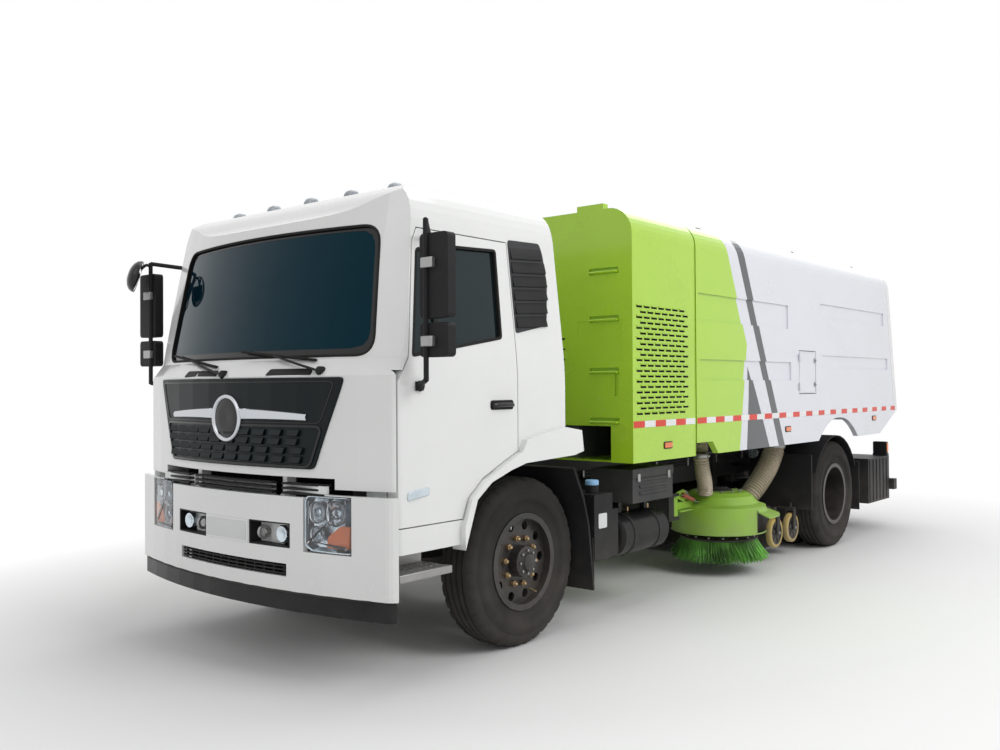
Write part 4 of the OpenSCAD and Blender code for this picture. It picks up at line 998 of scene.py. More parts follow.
def recipes(datum: Datum) -> dict[str, Finish]:
    """The finishes of the truck by the names that the classes below use.

    Args:
        datum: Where the measuring lines lie, for the livery.

    Returns:
        The finishes by name.
    """
    white = (0.80, 0.81, 0.80)
    black = (0.007, 0.007, 0.008)
    return {"white": Finish("cab_white", white, 0.22, coat=0.6, tone=0.03, grain=0.02, grain_scale=90,
        dust=0.08, dust_top=0.95, film=0.01), "bumper": Skirted("bumper_white", white, 0.24, coat=0.5,
        tone=0.03, grain=0.02, grain_scale=90, dust=0.06, dust_top=0.8, film=0.01),
        "livery": Livery("body_livery", (0.72, 0.735, 0.79), 0.24, coat=0.5, tone=0.03, grain=0.03,
        grain_scale=30, dust=0.05, dust_top=1.5, film=0.01, datum=datum),
        "green": Finish("lime_green", (0.40, 0.66, 0.02), 0.26, coat=0.5, tone=0.06, grain=0.03, grain_scale=40,
        dust=0.06, dust_top=1.5, film=0.01), "arm_green": Finish("worn_green", (0.30, 0.56, 0.03), 0.4,
        coat=0.1, tone=0.12, dust=0.35, dust_top=0.75, film=0.12, wear=0.9, grain=0.1, grain_scale=60),
        "chassis": Finish("frame_black", (0.018, 0.018, 0.02), 0.5, gloss=0.22, tone=0.2, dust=0.25,
        dust_top=0.8, film=0.02, wear=0.15, grain=0.1, grain_scale=80),
        "plastic": Finish("black_plastic", (0.016, 0.016, 0.018), 0.5, gloss=0.15, tone=0.1, grain=0.35,
        grain_scale=900, dust=0.16, dust_top=0.8, film=0.01), "gloss_black": Finish("gloss_black", black, 0.12,
        gloss=0.3, coat=0.15, tone=0.05, dust=0.1, dust_top=0.7, film=0.02),
        "grille": Finish("grille_charcoal", (0.0025, 0.008, 0.010), 0.32, gloss=0.14, coat=0.03, tone=0.1,
        grain=0.1, grain_scale=700, dust=0.1, film=0.02), "grey_plastic": Finish("grey_plastic",
        (0.035, 0.036, 0.04), 0.55, gloss=0.25, tone=0.1, grain=0.3, grain_scale=800, dust=0.2, film=0.03),
        "rubber": Finish("rubber_trim", (0.014, 0.014, 0.014), 0.7, gloss=0.15, tone=0.1, grain=0.2,
        grain_scale=600, dust=0.2, film=0.03), "tyre": Finish("tyre_rubber", (0.026, 0.025, 0.024), 0.8,
        gloss=0.15, tone=0.25, grain=0.5, grain_scale=350, dust=0.3, dust_top=0.8, film=0.06,
        dust_colour=(0.15, 0.135, 0.12)), "rim": Finish("rim_black", (0.016, 0.016, 0.018), 0.35, gloss=0.3,
        coat=0.2, tone=0.2, dust=0.3, dust_top=0.9, film=0.05, wear=0.3, grain=0.15, grain_scale=70,
        dust_colour=(0.2, 0.17, 0.14)), "brass": Finish("nut_brass", (0.62, 0.43, 0.22), 0.38, metallic=1.0,
        tone=0.3, dust=0.3, dust_top=0.9, film=0.12, wear=0.2, grain=0.1),
        "steel": Finish("bare_steel", (0.42, 0.42, 0.42), 0.42, metallic=0.9, tone=0.25, dust=0.35,
        dust_top=1.0, film=0.08, grain=0.3, grain_scale=120), "alloy": Finish("tank_alloy", (0.6, 0.61, 0.62),
        0.32, metallic=1.0, tone=0.08, dust=0.3, film=0.05, grain=0.15, grain_scale=200),
        "chrome": Finish("chrome", (0.55, 0.57, 0.60), 0.12, metallic=1.0, tone=0.03, grain=0.0, dust=0.1,
        film=0.01), "engine": Finish("engine_grey", (0.10, 0.11, 0.12), 0.55, metallic=0.3, tone=0.3, dust=0.5,
        dust_top=1.4, film=0.15, grain=0.4, grain_scale=60, wear=0.3), "dark": Finish("dark_void",
        # dark: near-black painted shade, set in the housing's slot openings and behind the bumper's slots and
        # intake
        (0.006, 0.006, 0.007), 0.8, gloss=0.05, tone=0.05, dust=0.05, film=0.01),
        "tank_black": Finish("tank_black", (0.006, 0.007, 0.008), 0.35, gloss=0.15, coat=0.05, tone=0.1,
        dust=0.12, dust_top=0.7, film=0.02), "cap_blue": Finish("cap_blue", (0.25, 0.48, 0.75), 0.4, tone=0.05,
        dust=0.1), "label": Finish("blank_label", (0.75, 0.76, 0.77), 0.4, tone=0.05, dust=0.2),
        "orange": Finish("amber_lens", (0.85, 0.17, 0.005), 0.15, coat=0.6, tone=0.1, dust=0.1, grain=0.6,
        grain_scale=260), "red": Finish("red_lens", (0.55, 0.01, 0.008), 0.15, coat=0.6, tone=0.1, dust=0.1,
        grain=0.6, grain_scale=260), "tape_red": Finish("tape_red", (0.72, 0.03, 0.01), 0.3, tone=0.06,
        dust=0.1, grain=0.2, grain_scale=300), "tape_white": Finish("tape_white", (0.83, 0.83, 0.84), 0.3,
        tone=0.04, dust=0.1, grain=0.2, grain_scale=300), "ram": Finish("ram_red", (0.45, 0.03, 0.02), 0.35,
        coat=0.3, tone=0.15, dust=0.4, dust_top=1.5, film=0.1, wear=0.3),
        "bristle": Finish("bristle_green", (0.22, 0.68, 0.08), 0.5, tone=0.85, grain=0.0, grain_scale=26,
        dust=0.15, dust_top=0.2, film=0.01), "castor": Finish("castor_yellow", (0.66, 0.47, 0.10), 0.55,
        tone=0.25, dust=0.45, dust_top=0.5, film=0.15, grain=0.2, grain_scale=90),
        "hose": Finish("hose_skin", (0.50, 0.42, 0.30), 0.32, tone=0.3, grain=0.1, coat=0.3, dust=0.25,
        dust_top=1.3, film=0.08), "cloth": Finish("seat_cloth", (0.045, 0.05, 0.06), 0.9, gloss=0.2, tone=0.3,
        grain=0.8, grain_scale=450, dust=0.0, film=0.03, sheen=0.4), "trim": Finish("cab_trim",
        (0.05, 0.052, 0.055), 0.7, gloss=0.2, tone=0.15, grain=0.5, grain_scale=500, dust=0.0, film=0.03),
        "mirror": Finish("mirror_face", (0.75, 0.78, 0.8), 0.03, metallic=1.0, tone=0.02, grain=0.0, dust=0.0,
        film=0.01), "screen": SideGlass("windscreen_tint", (0.003, 0.024, 0.042), 0.03, gloss=0.5,
        tint=(0.008, 0.045, 0.070), clear=0.5, index=1.33, shine=(0.12, 0.60, 0.82)),
        "glass": SideGlass("side_tint", (0.012, 0.020, 0.022), 0.03, gloss=0.5, tint=(0.03, 0.04, 0.04),
        clear=0.4, index=1.4, shine=(0.7, 0.9, 0.95)), "clear_grey": Finish("marker_lens", (0.30, 0.34, 0.38),
        0.15, coat=0.6, tone=0.3, grain=0.4, grain_scale=200, dust=0.1),
        "lens": SideGlass("lamp_lens", (0.92, 0.95, 0.97), 0.02, tint=(0.9, 0.93, 0.95), clear=0.97),
        "reflector": Finish("lamp_reflector", (0.66, 0.74, 0.80), 0.14, metallic=0.9, tone=0.2, grain=0.8,
        grain_scale=120, dust=0.0, film=0.0),}


class PaintShop:
    """Every finish of the truck, made once and read as an attribute."""

    def __init__(self, datum: Datum) -> None:
        """Mixes the finishes.

        Args:
            datum: Where the measuring lines lie, for the livery.
        """
        effects = Effects()
        self._made = {name: finish.build(effects) for name, finish in recipes(datum).items()}

    def __getattr__(self, name: str) -> bpy.types.Material:
        """The finish of that name."""
        return self._made[name]

    def dress(self, nodes: dict[str, bpy.types.Object]) -> None:
        """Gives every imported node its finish.

        Args:
            nodes: The frame's nodes by name.
        """
        plan = {self.white: ("cab_shell", "left_door", "right_door"), self.bumper: ("front_bumper",),
            self.livery: ("hopper", "side_hatch"), self.green: ("fan_housing",),
            self.tape_white: ("roof_duct", "rear_door"), self.grille: ("grille",),
            self.arm_green: ("left_brush_arm", "right_brush_arm"), self.chassis: ("chassis_frame", "front_axle",
            "rear_axle", "leaf_springs", "rear_underrun", "left_knuckle", "right_knuckle", "tie_rod",
            "suction_nozzle"), self.plastic: ("front_mudguards", "rear_mudguards", "left_mirrors",
            "right_mirrors", "urea_tank"), self.engine: ("engines",), self.steel: ("entry_steps", "silencer"),
            self.alloy: ("fuel_tank",), self.tank_black: ("air_tanks",), self.grey_plastic: ("battery_box",),
            self.screen: ("windscreen",), self.glass: ("left_window", "right_window"),
            self.trim: ("dashboard", "steering_wheel"), self.cloth: ("seats",), self.ram: ("tip_barrels",),
            self.chrome: ("tip_rods",), self.rim: ("left_front_rim", "right_front_rim", "left_rear_rims",
            "right_rear_rims"), self.tyre: ("left_front_tyre", "right_front_tyre", "left_rear_tyres",
            "right_rear_tyres"), self.lens: ("lamps",), self.bristle: ("left_brush", "right_brush"),
            self.hose: ("left_brush_hose", "right_brush_hose", "nozzle_hoses"),
            self.castor: tuple(f"{end}_{side.word}_castor" for end in ("front", "rear") for side in Side),}
        finish_of = {node: material for material, names in plan.items() for node in names}
        for name, node in nodes.items():
            for index in range(len(node.data.materials)):
                node.data.materials[index] = finish_of[name]
            log.info("%s gets %s", name, finish_of[name].name)


@dataclass
class Assembly:
    """What every sub-assembly needs to make its pieces."""

    datum: Datum
    shop: PaintShop
    pattern: Pattern

    def shape(self) -> Shape:
        """Starts a shape on the truck's measuring lines."""
        return Shape(self.datum)


# ---------------------------------------------------------------- wheels


@dataclass
class Wheels(Assembly):
    """Tyres with tread, wheel nuts and hub caps."""

    tyre_r: float = 522
    tyre_w: float = 285
    rim_r: float = 286
    front_x: float = 958
    rear_x: float = 934
    twin_spacing: float = 320
    nuts: int = 10
    steps: int = 144

    def _profile(self, notch: bool) -> list[Pair]:
        """Half of the tyre's section and its mirror image, from bead to bead.

        Args:
            notch: Whether this slice falls in a notch of the shoulder.

        Returns:
            Points as (x, radius).
        """
        r, w = self.tyre_r, self.tyre_w
        wall = arc((w / 2 - 62, self.rim_r + 124), 62, -48, 40, 9)
        wall = [(x - (1.5 if i % 3 == 1 else 0), y) for i, (x, y) in enumerate(wall)]
        drop = 10 if notch else 0
        half = [(114, self.rim_r), (114, self.rim_r + 12), (118, self.rim_r + 18), (116, self.rim_r + 26),
            *wall, (w * 0.445, r - 40), (w * 0.42, r - 22 - drop), (w * 0.37, r - 7 - drop),
            (w * 0.30, r - 1 - drop)]
        grooves = [(74, 0), (70, 13), (62, 13), (58, 0), (30, 0), (26, 14), (18, 14), (14, 0)]
        half += [(x, r - d - 0.5) for x, d in grooves]
        return half + [(-x, y) for x, y in reversed(half)]

    def _tyre(self, shape: Shape, x: float, y: float) -> None:
        """Adds one tyre to a shape.

        Args:
            shape: The shape to add to.
            x: The tyre's middle.
            y: Its axle's line.
        """
        rings = []
        for k in range(self.steps):
            c, s = math.cos(math.tau * k / self.steps), math.sin(math.tau * k / self.steps)
            rings.append(shape._points((x + a, y + r * c, self.tyre_r + r * s) for a,
                r in self._profile(k % 4 == 0)))
        shape._skin(rings, True, False)

    def _nuts(self, name: str, body: str, side: Side, face: float, y: float, circle: float) -> None:
        """Puts nuts with their studs on a disc.

        Args:
            name: The piece's name.
            body: The wheel's body.
            side: The side of the truck.
            face: The disc's outer face, measured from the middle of the truck.
            y: The axle's line.
            circle: The bolt circle's radius.
        """
        nut = peg(24, 19)
        nut.loft([[(r * math.cos(math.tau * k / 10), r * math.sin(math.tau * k / 10), z) for k in range(10)]
            for z, r in ((23, 14), (34, 13), (40, 8))])
        self.pattern.make(self.pattern.ring, nut, name, body, self.shop.brass, Count=self.nuts,
            Radius=circle * MM, Centre=self.datum.place(side.value * face, y, self.tyre_r),
            Turn=(0.0, side.value * math.pi / 2, 0.0), Start=0.2)

    def build(self) -> None:
        """Makes both axles' wheels on both sides."""
        for side in Side:
            s = side.value
            front, rear = f"{side.word}_front_wheel", f"{side.word}_rear_wheels"
            tyre = self.shape()
            self._tyre(tyre, s * self.front_x, 0)
            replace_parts(tyre.done(f"{side.word}_front_tread", front, self.shop.tyre, smooth=30,
                slot="tyre_rubber"), f"{side.word}_front_tyre")
            twins = self.shape()
            for t in (-1, 1):
                self._tyre(twins, s * self.rear_x + t * self.twin_spacing / 2, WHEELBASE)
            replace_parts(twins.done(f"{side.word}_rear_treads", rear, self.shop.tyre, smooth=30,
                slot="tyre_rubber"), f"{side.word}_rear_tyres")
            self._nuts(f"{side.word}_front_nuts", front, side, self.front_x + 71, 0, 145)
            self._nuts(f"{side.word}_rear_nuts", rear, side, self.rear_x + 18, WHEELBASE, 165)
            cap = self.shape().lathe([(0, 0.5), (0, 96), (10, 99), (66, 96), (72, 88), (76, 60), (84, 54),
                (96, 50), (100, 40), (100, 0.5)], (self.front_x + 71, 0, self.tyre_r), Axis.X, 40)
            cap.copy_to(side).done(f"{side.word}_front_cap", front, self.shop.rim, 1.5)
            hub = self.shape().lathe([(0, 0.5), (0, 132), (8, 136), (84, 130), (92, 120), (96, 80), (112, 74),
                (124, 66), (128, 0.5)], (self.rear_x + 18, WHEELBASE, self.tyre_r), Axis.X, 40)
            hub.copy_to(side).done(f"{side.word}_rear_cap", rear, self.shop.rim, 1.5)
            for name, body, x, y, circle in ((f"{side.word}_front_cap_bolts", front, self.front_x + 147, 0, 72),
                    (f"{side.word}_rear_cap_bolts", rear, self.rear_x + 114, WHEELBASE, 100)):
                self.pattern.make(self.pattern.ring, peg(9, 8), name, body, self.shop.steel, Count=8,
                    Radius=circle * MM, Centre=self.datum.place(s * x, y, self.tyre_r),
                    Turn=(0.0, s * math.pi / 2, 0.0), Start=0.0)
            stem = self.shape().rod([(self.front_x + 60, 120, 330), (self.front_x + 90, 126, 322),
                (self.front_x + 112, 132, 312)], 5, 8)
            stem.copy_to(side).done(f"{side.word}_valve", front, self.shop.brass)


# ---------------------------------------------------------------- cab


@dataclass
class Cab(Assembly):
    """Grille, lamps, glass trims, wipers, vents and handles of the tilting cab and its doors."""

    half: float = 1190
    front: float = -1400
    sweep: float = 3400
    nose_top: float = 1672
    screen_base: float = 1765
    screen_back: float = 75
    lean: float = 11
    grille_out: float = 12
    window: tuple[Pair, ...] = ((-1078, 1768), (-312, 1890), (-298, 2428), (-720, 2410), (-984, 2368))
    screen: tuple[Pair, ...] = ((-1000, 1777), (1000, 1777), (930, 2515), (-930, 2515))
    vent: tuple[Pair, ...] = ((-180, 1929), (110, 1985), (140, 2020), (180, 2260), (160, 2440), (134, 2510),
        (-180, 2500))

    def side_x(self, z: float) -> float:
        """How far out the cab's flank lies at a height."""
        return self.half - max(0.0, z - 1720) * 85 / 760

    def front_y(self, x: float, z: float) -> float:
        """How far forward the cab's face lies at a point of it.

        Args:
            x: The place across the cab.
            z: The height.

        Returns:
            The face's y.
        """
        y = self.front + x * x / (2 * self.sweep)
        if z > self.screen_base:
            return y + self.screen_back + (z - self.screen_base) * math.tan(math.radians(self.lean))
        return y + self.screen_back * max(0.0, z - self.nose_top) / (self.screen_base - self.nose_top)

    def on_side(self, y: float, z: float, lift: float) -> Point:
        """A point proud of the flank by a lift."""
        return (self.side_x(z) + lift, y, z)

    def on_front(self, x: float, z: float, lift: float) -> Point:
        """A point proud of the face by a lift."""
        return (x, self.front_y(x, z) - lift, z)

    @staticmethod
    def soften(outline: Sequence[Pair], radius: float, steps: int = 5) -> list[Pair]:
        """Rounds an outline's corners.

        Args:
            outline: Its corner points.
            radius: How far from a corner the rounding starts.
            steps: The points in each corner.

        Returns:
            The rounded outline.
        """
        found = []
        for i, point in enumerate(outline):
            p = Vector(point)
            before, after = Vector(outline[i - 1]), Vector(outline[(i + 1) % len(outline)])
            a = p + (before - p).normalized() * radius
            b = p + (after - p).normalized() * radius
            for k in range(steps + 1):
                t = k / steps
                found.append(tuple((1 - t) ** 2 * a + 2 * t * (1 - t) * p + t * t * b))
        return found

    @staticmethod
    def dense(outline: Sequence[Pair], step: float = 60) -> list[Pair]:
        """Adds points along an outline's long edges.

        Args:
            outline: The outline.
            step: The longest edge that is left.

        Returns:
            The denser outline.
        """
        found = []
        for i, a in enumerate(outline):
            b = outline[(i + 1) % len(outline)]
            count = max(1, round(math.dist(a, b) / step))
            found += [(a[0] + (b[0] - a[0]) * k / count, a[1] + (b[1] - a[1]) * k / count) for k
                in range(count)]
        return found

    @staticmethod
    def grown(outline: Sequence[Pair], gap: float) -> list[Pair]:
        """Moves a rounded outline outwards along its normals.

        Args:
            outline: The outline.
            gap: How far it moves, or inwards if negative.

        Returns:
            The moved outline.
        """
        area = sum(a[0] * b[1] - b[0] * a[1] for a, b in zip(outline, [*outline[1:], outline[0]]))
        sign = 1 if area > 0 else -1
        found = []
        for i, p in enumerate(outline):
            q, r = outline[i - 1], outline[(i + 1) % len(outline)]
            along = Vector((r[0] - q[0], r[1] - q[1])).normalized()
            found.append((p[0] + sign * along.y * gap, p[1] - sign * along.x * gap))
        return found

    def trim_ring(self, surface: Callable[[float, float, float], Point], outline: Sequence[Pair], width: float,
            low: float, high: float) -> Shape:
        """A raised band that follows an outline on a surface.

        Args:
            surface: Places an outline point on the cab.
            outline: The band's inner edge.
            width: The band's width, outwards, or inwards if negative.
            low: The lift of its underside.
            high: The lift of its top.

        Returns:
            The band.
        """
        inner = self.dense(outline)
        outer = self.grown(inner, width)
        shape = self.shape()
        loops = [[surface(*p, lift) for p in line] for line, lift in ((inner, low), (inner, high),
            (outer, high), (outer, low))]
        rings = [shape._points(loop) for loop in loops]
        shape._skin(rings, True, False)
        return shape

    def patch(self, surface: Callable[[float, float, float], Point], low: Pair, high: Pair,
            lift: tuple[float, float], steps: int = 12, taper: float = 0.0) -> Shape:
        """A plate that follows a surface between two corners.

        Args:
            surface: Places an outline point on the cab.
            low: The lower corner.
            high: The upper corner.
            lift: The lift of its underside and of its top.
            steps: How many steps it takes across.
            taper: How much its ends are lower than its middle.

        Returns:
            The plate.
        """
        sections = []
        for i in range(steps + 1):
            u = low[0] + (high[0] - low[0]) * i / steps
            shrink = taper * (2 * i / steps - 1) ** 2
            z0, z1 = low[1] + shrink, high[1] - shrink
            sections.append([surface(u, z, a) for z, a in ((z0, lift[0]), (z0, lift[1]), (z1, lift[1]),
                (z1, lift[0]))])
        return self.shape().loft(sections)

    def build(self) -> None:
        """Makes the pieces of the face, the flanks and the roof."""
        self._face()
        self._screen_parts()
        self._roof()
        for side in Side:
            self._door(side)

    def _face(self) -> None:
        """The grille's mesh, its chrome bars and its bare disc."""
        shop = self.shop
        out = self.grille_out
        recess = self.soften([(-664, 1186), (664, 1186), (742, 1392), (-742, 1392)], 34)
        self.trim_ring(self.on_front, recess, 14, out - 1, out + 7).done("grille_lip", "cab", shop.gloss_black,
            2)
        scale = Shape(ORIGIN).loft([[(-58, 0, 19), (-58, -3, 18), (-48, -12, -14), (-46, 0, -19)],
            [(58, 0, 19), (58, -3, 18), (48, -12, -14), (46, 0, -19)]])
        self.pattern.make(self.pattern.grid, scale, "grille_scales", "cab", shop.grille, Columns=10, Rows=4,
            Start=self.datum.place(-618, self.front - out, 1214), Column_Step=(0.131, 0, 0),
            Row_Step=(-0.012, 0, 0.049), Stagger=0.18, Sweep=1000 / (2 * self.sweep))
        for s in (-1, 1):
            wing = []
            for k in range(17):
                x = s * (118 + 530 * k / 16)
                rise = 1462 - 14 * (k / 16) ** 2
                thick = 34 - 14 * k / 16
                wing.append([self.on_front(x, rise + dz, out + lift) for dz,
                    lift in ((-thick, 0), (-thick * 0.8, 8), (0, 13), (thick * 0.8, 8), (thick, 0))])
            self.shape().loft(wing).done(f"grille_wing_{'left' if s > 0 else 'right'}", "cab", shop.chrome, 1)
        face = self.front - out
        disc = self.shape().lathe([(4, 0.5), (-6, 0.5), (-9, 60), (-8, 100), (-5, 112), (4, 116)],
            (0, face, 1436), Axis.Y, 64)
        disc.done("bare_disc", "cab", shop.gloss_black, 0, 50)
        ring = self.shape().lathe([(0, 112), (-9, 114), (-16, 122), (-15, 132), (-8, 138), (2, 138)],
            (0, face, 1436), Axis.Y, 72)
        ring.done("disc_ring", "cab", shop.chrome, 0, 60)
        edge = self.soften([(-736, 1420), (736, 1420), (828, 1640), (-828, 1640)], 30)
        self.trim_ring(self.on_front, edge, 6, out - 1, out + 3).done("grille_brow", "cab", shop.gloss_black, 1)

    def _screen_parts(self) -> None:
        """The screen's printed border, its seal, the wipers and the black rests below it."""
        shop = self.shop
        inner = self.soften([(-952, 1822), (952, 1822), (890, 2482), (-890, 2482)], 104, 8)
        outer = self.soften([(-996, 1781), (996, 1781), (927, 2511), (-927, 2511)], 119, 8)
        pane = self.shape()
        for lift in (-14, -20):
            rings = [pane._points(self.on_front(f * x, 2140 + f * (z - 2140), lift) for x,
                z in self._matched(outer)) for f in (1, 0.86, 0.68, 0.48, 0.26, 0.08)]
            pane._skin(rings, False, False)
            pane.bm.faces.new(rings[-1])
        pane.bm.verts.ensure_lookup_table()
        count = 96
        for k in range(count):
            j = (k + 1) % count
            v = pane.bm.verts
            pane.bm.faces.new((v[k], v[j], v[6 * count + j], v[6 * count + k]))
        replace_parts(pane.done("screen_pane", "cab", shop.screen, 0, 50, slot="window_glass"), "windscreen")
        border = self.shape()
        rings = [border._points(self.on_front(*p, -12.8) for p in line) for line
            in (self._matched(inner), self._matched(outer))]
        for k in range(len(rings[0])):
            j = (k + 1) % len(rings[0])
            border.bm.faces.new((rings[0][k], rings[0][j], rings[1][j], rings[1][k]))
        border.done("screen_border", "cab", shop.gloss_black)
        seal = self.soften(self.screen, 120, 8)
        self.trim_ring(self.on_front, seal, -14, -12, 2).done("screen_seal", "cab", shop.rubber, 1)
        for name, pivot, blade in (("left", (712, 1702), ((30, 1822), (640, 1762))),
                ("right", (-70, 1690), ((-860, 1822), (-190, 1738)))):
            (x0, z0), (x1, z1) = blade
            middle = ((x0 + x1) / 2, (z0 + z1) / 2)
            arm = self.shape()
            arm.lathe([(14, 0.5), (14, 24), (-18, 24), (-26, 18), (-28, 0.5)], self.on_front(*pivot, 0), Axis.Y,
                20, False)
            reach = (middle[0] * 0.45 + pivot[0] * 0.55, middle[1] * 0.45 + pivot[1] * 0.55)
            path = [self.on_front(*pivot, 20), self.on_front(*reach, 34), self.on_front(*middle, 26)]
            arm.rod(smooth_path(path, 5), 7, 8, 11)
            arm.done(f"wiper_arm_{name}", "cab", shop.plastic, 1)
            strip = self.shape()
            line = [self.on_front(x0 + (x1 - x0) * k / 14, z0 + (z1 - z0) * k / 14, 2) for k in range(15)]
            strip.rod([(p[0], p[1] - 12, p[2]) for p in line], 8, 8, 10)
            strip.rod(line, 3, 6, 9)
            strip.done(f"wiper_blade_{name}", "cab", shop.rubber)
        for name, x0, x1 in (("left", 320, 660), ("right", -540, -140)):
            rest = self.soften([(x0, 1680), (x1, 1680), (x1 - 14, 1716), (x0 + 14, 1716)], 12)
            plate = self.shape()
            sections = [[self.on_front(*p, lift) for p in rest] for lift in (-3, 5)]
            plate.loft(sections)
            plate.done(f"screen_rest_{name}", "cab", shop.plastic, 2)

    @staticmethod
    def _matched(outline: Sequence[Pair], count: int = 96) -> list[Pair]:
        """Points on an outline at evenly spread angles, so that two outlines can be joined.

        Args:
            outline: The outline.
            count: How many points to find.

        Returns:
            The points.
        """
        middle = (sum(p[0] for p in outline) / len(outline), sum(p[1] for p in outline) / len(outline))
        found = []
        for k in range(count):
            turn = math.tau * k / count
            ray = (math.cos(turn), math.sin(turn) * 0.45)
            best = 0.0
            for a, b in zip(outline, [*outline[1:], outline[0]]):
                ex, ey = b[0] - a[0], b[1] - a[1]
                cross = ray[0] * ey - ray[1] * ex
                if abs(cross) < 1e-9:
                    continue
                ax, ay = a[0] - middle[0], a[1] - middle[1]
                t = (ax * ey - ay * ex) / cross
                u = (ax * ray[1] - ay * ray[0]) / cross
                if -1e-9 <= u <= 1 + 1e-9 and t > best:
                    best = t
            found.append((middle[0] + ray[0] * best, middle[1] + ray[1] * best))
        return found

    def _roof(self) -> None:
        """Five small marker lamps on the roof's front edge."""
        for index, x in enumerate((-760, -380, 0, 380, 760)):
            z = 2762 - 10 * (abs(x) / 760) ** 2
            foot = self.shape().loft([[(x + a, -790 + b, z + c) for a, b in rounded((-30, -44), (30, 44), 14)]
                for c in (-14, 4)])
            foot.done(f"roof_lamp_foot_{index}", "cab", self.shop.plastic, 2)
            rings = []
            for shrink, up, back in ((3, 3, 0), (5, 22, 4), (9, 38, 10), (16, 46, 16), (22, 49, 18)):
                rings.append([(x + a, -790 + b + back, z + up) for a, b in rounded((-30 + shrink, -44 + shrink),
                    (30 - shrink, 44 - shrink), 6)])
            self.shape().loft(rings).done(f"roof_lamp_{index}", "cab", self.shop.clear_grey, 0, 50)

    def _door(self, side: Side) -> None:
        """Window seals, handle, side lamp, mirror faces and the louvred panel behind the door.

        Args:
            side: The side of the truck.
        """
        shop, door, word = self.shop, f"{side.word}_door", side.word
        seal = self.soften(self.window, 26)
        self.trim_ring(self.on_side, seal, -16, -16, 2).copy_to(side).done(f"{word}_window_seal", door,
            shop.rubber, 1)
        divider = self.patch(self.on_side, (-880, 1806), (-852, 2380), (-16, -6))
        divider.copy_to(side).done(f"{word}_window_post", door, shop.rubber)
        grip = self.shape()
        grip.rod(smooth_path([self.on_side(y, z, lift) for y, z, lift in ((-432, 1499, 2), (-424, 1501, 22),
            (-340, 1503, 28), (-262, 1501, 22), (-254, 1499, 2))], 5), 12, 10, 8)
        grip.copy_to(side).done(f"{word}_handle", door, shop.gloss_black, 1)
        pad = self.soften([(-446, 1474), (-236, 1474), (-236, 1530), (-446, 1530)], 20)
        self.shape().loft([[self.on_side(*p, lift) for p in pad] for lift in (-2, 3)]).copy_to(side).done(
            f"{word}_handle_pad", door, shop.plastic, 1)
        lamp = self.soften([(-1125, 1010), (-960, 1030), (-962, 1072), (-1120, 1058)], 14)
        self.shape().loft([[self.on_side(*p, lift) for p in lamp] for lift in (-2, 9)]).copy_to(side).done(
            f"{word}_side_lamp", door, shop.reflector, 3)
        panel = self.soften(self.vent, 24)
        self.shape().loft([[self.on_side(*p, lift) for p in self.dense(panel, 80)] for lift
            in (-3, 4)]).copy_to(side).done(f"{word}_vent_panel", "cab", shop.grey_plastic, 2,
            slot="black_plastic")
        slats = self.shape()
        for k in range(6):
            z = 2018 + 84 * k
            far = 128 + 40 * min(1.0, (z - 1980) / 240) - (24 if k > 4 else 0)
            slats.loft([[self.on_side(y, z + dz + (y - far) * 0.06, lift) for dz,
                lift in ((-36, 3), (-34, 15), (32, 5), (34, 3))] for y in (-166, far)])
        slats.copy_to(side).done(f"{word}_vent_slats", "cab", shop.plastic, 1)
        for name, low, high in (("wide", 1982, 2390), ("near", 1778, 1927)):
            glass = [(x, z) for x, z in rounded((1313, low), (1447, high), 26)]
            self.shape().prism(glass, Axis.Y, -1054, -1052).copy_to(side).done(f"{word}_mirror_{name}", door,
                shop.mirror, 0.5)
        foot = self.shape()
        for y, z, r in ((-875, 2435, 30), (-1035, 1615, 30)):
            foot.lathe([(0, 0.5), (0, r), (10, r - 4), (16, r - 12), (16, 0.5)], self.on_side(y, z, 12), Axis.X,
                24)
        foot.copy_to(side).done(f"{word}_mirror_feet", door, shop.plastic, 1)
        clamps = self.shape()
        for z in (1846, 2252):
            clamps.box((1310, -1142, z - 27), (1392, -1113, z + 27))
        clamps.copy_to(side).done(f"{word}_mirror_clamps", door, shop.steel, 4)
        if side is Side.RIGHT:
            self._round_mirror(door)

    def _round_mirror(self, door: str) -> None:
        """The passenger side's round mirror, which looks down in front of the cab.

        Args:
            door: The door's body.
        """
        centre = (-1358, -1215, 2385)
        bowl = self.shape().lathe([(14, 0.5), (14, 104), (20, 110), (10, 113), (-14, 104), (-34, 82), (-48, 48),
            (-52, 0.5)], (0, 0, 0), Axis.Y, 48)
        glass = self.shape().lathe([(15, 0.5), (15, 103), (17, 103), (22, 60), (24, 0.5)], (0, 0, 0), Axis.Y,
            48)
        tip = Matrix.Rotation(math.radians(-32), 3, "Z") @ Matrix.Rotation(math.radians(-18), 3, "X")
        base, lift = self.datum.place(0, 0, 0), self.datum.place(*centre)
        for shape in (bowl, glass):
            for vertex in shape.bm.verts:
                vertex.co = tip @ (vertex.co - base) + lift
        bowl.done("round_mirror", door, self.shop.gloss_black, 0, 50)
        glass.done("round_mirror_glass", door, self.shop.mirror, 0, 50)
        arm = self.shape().rod(smooth_path([(-1330, -1120, 2455), (-1318, -1160, 2462), (-1330, -1195, 2430),
            (-1352, -1222, 2392)], 6), 10, 10)
        arm.done("round_mirror_arm", door, self.shop.plastic)


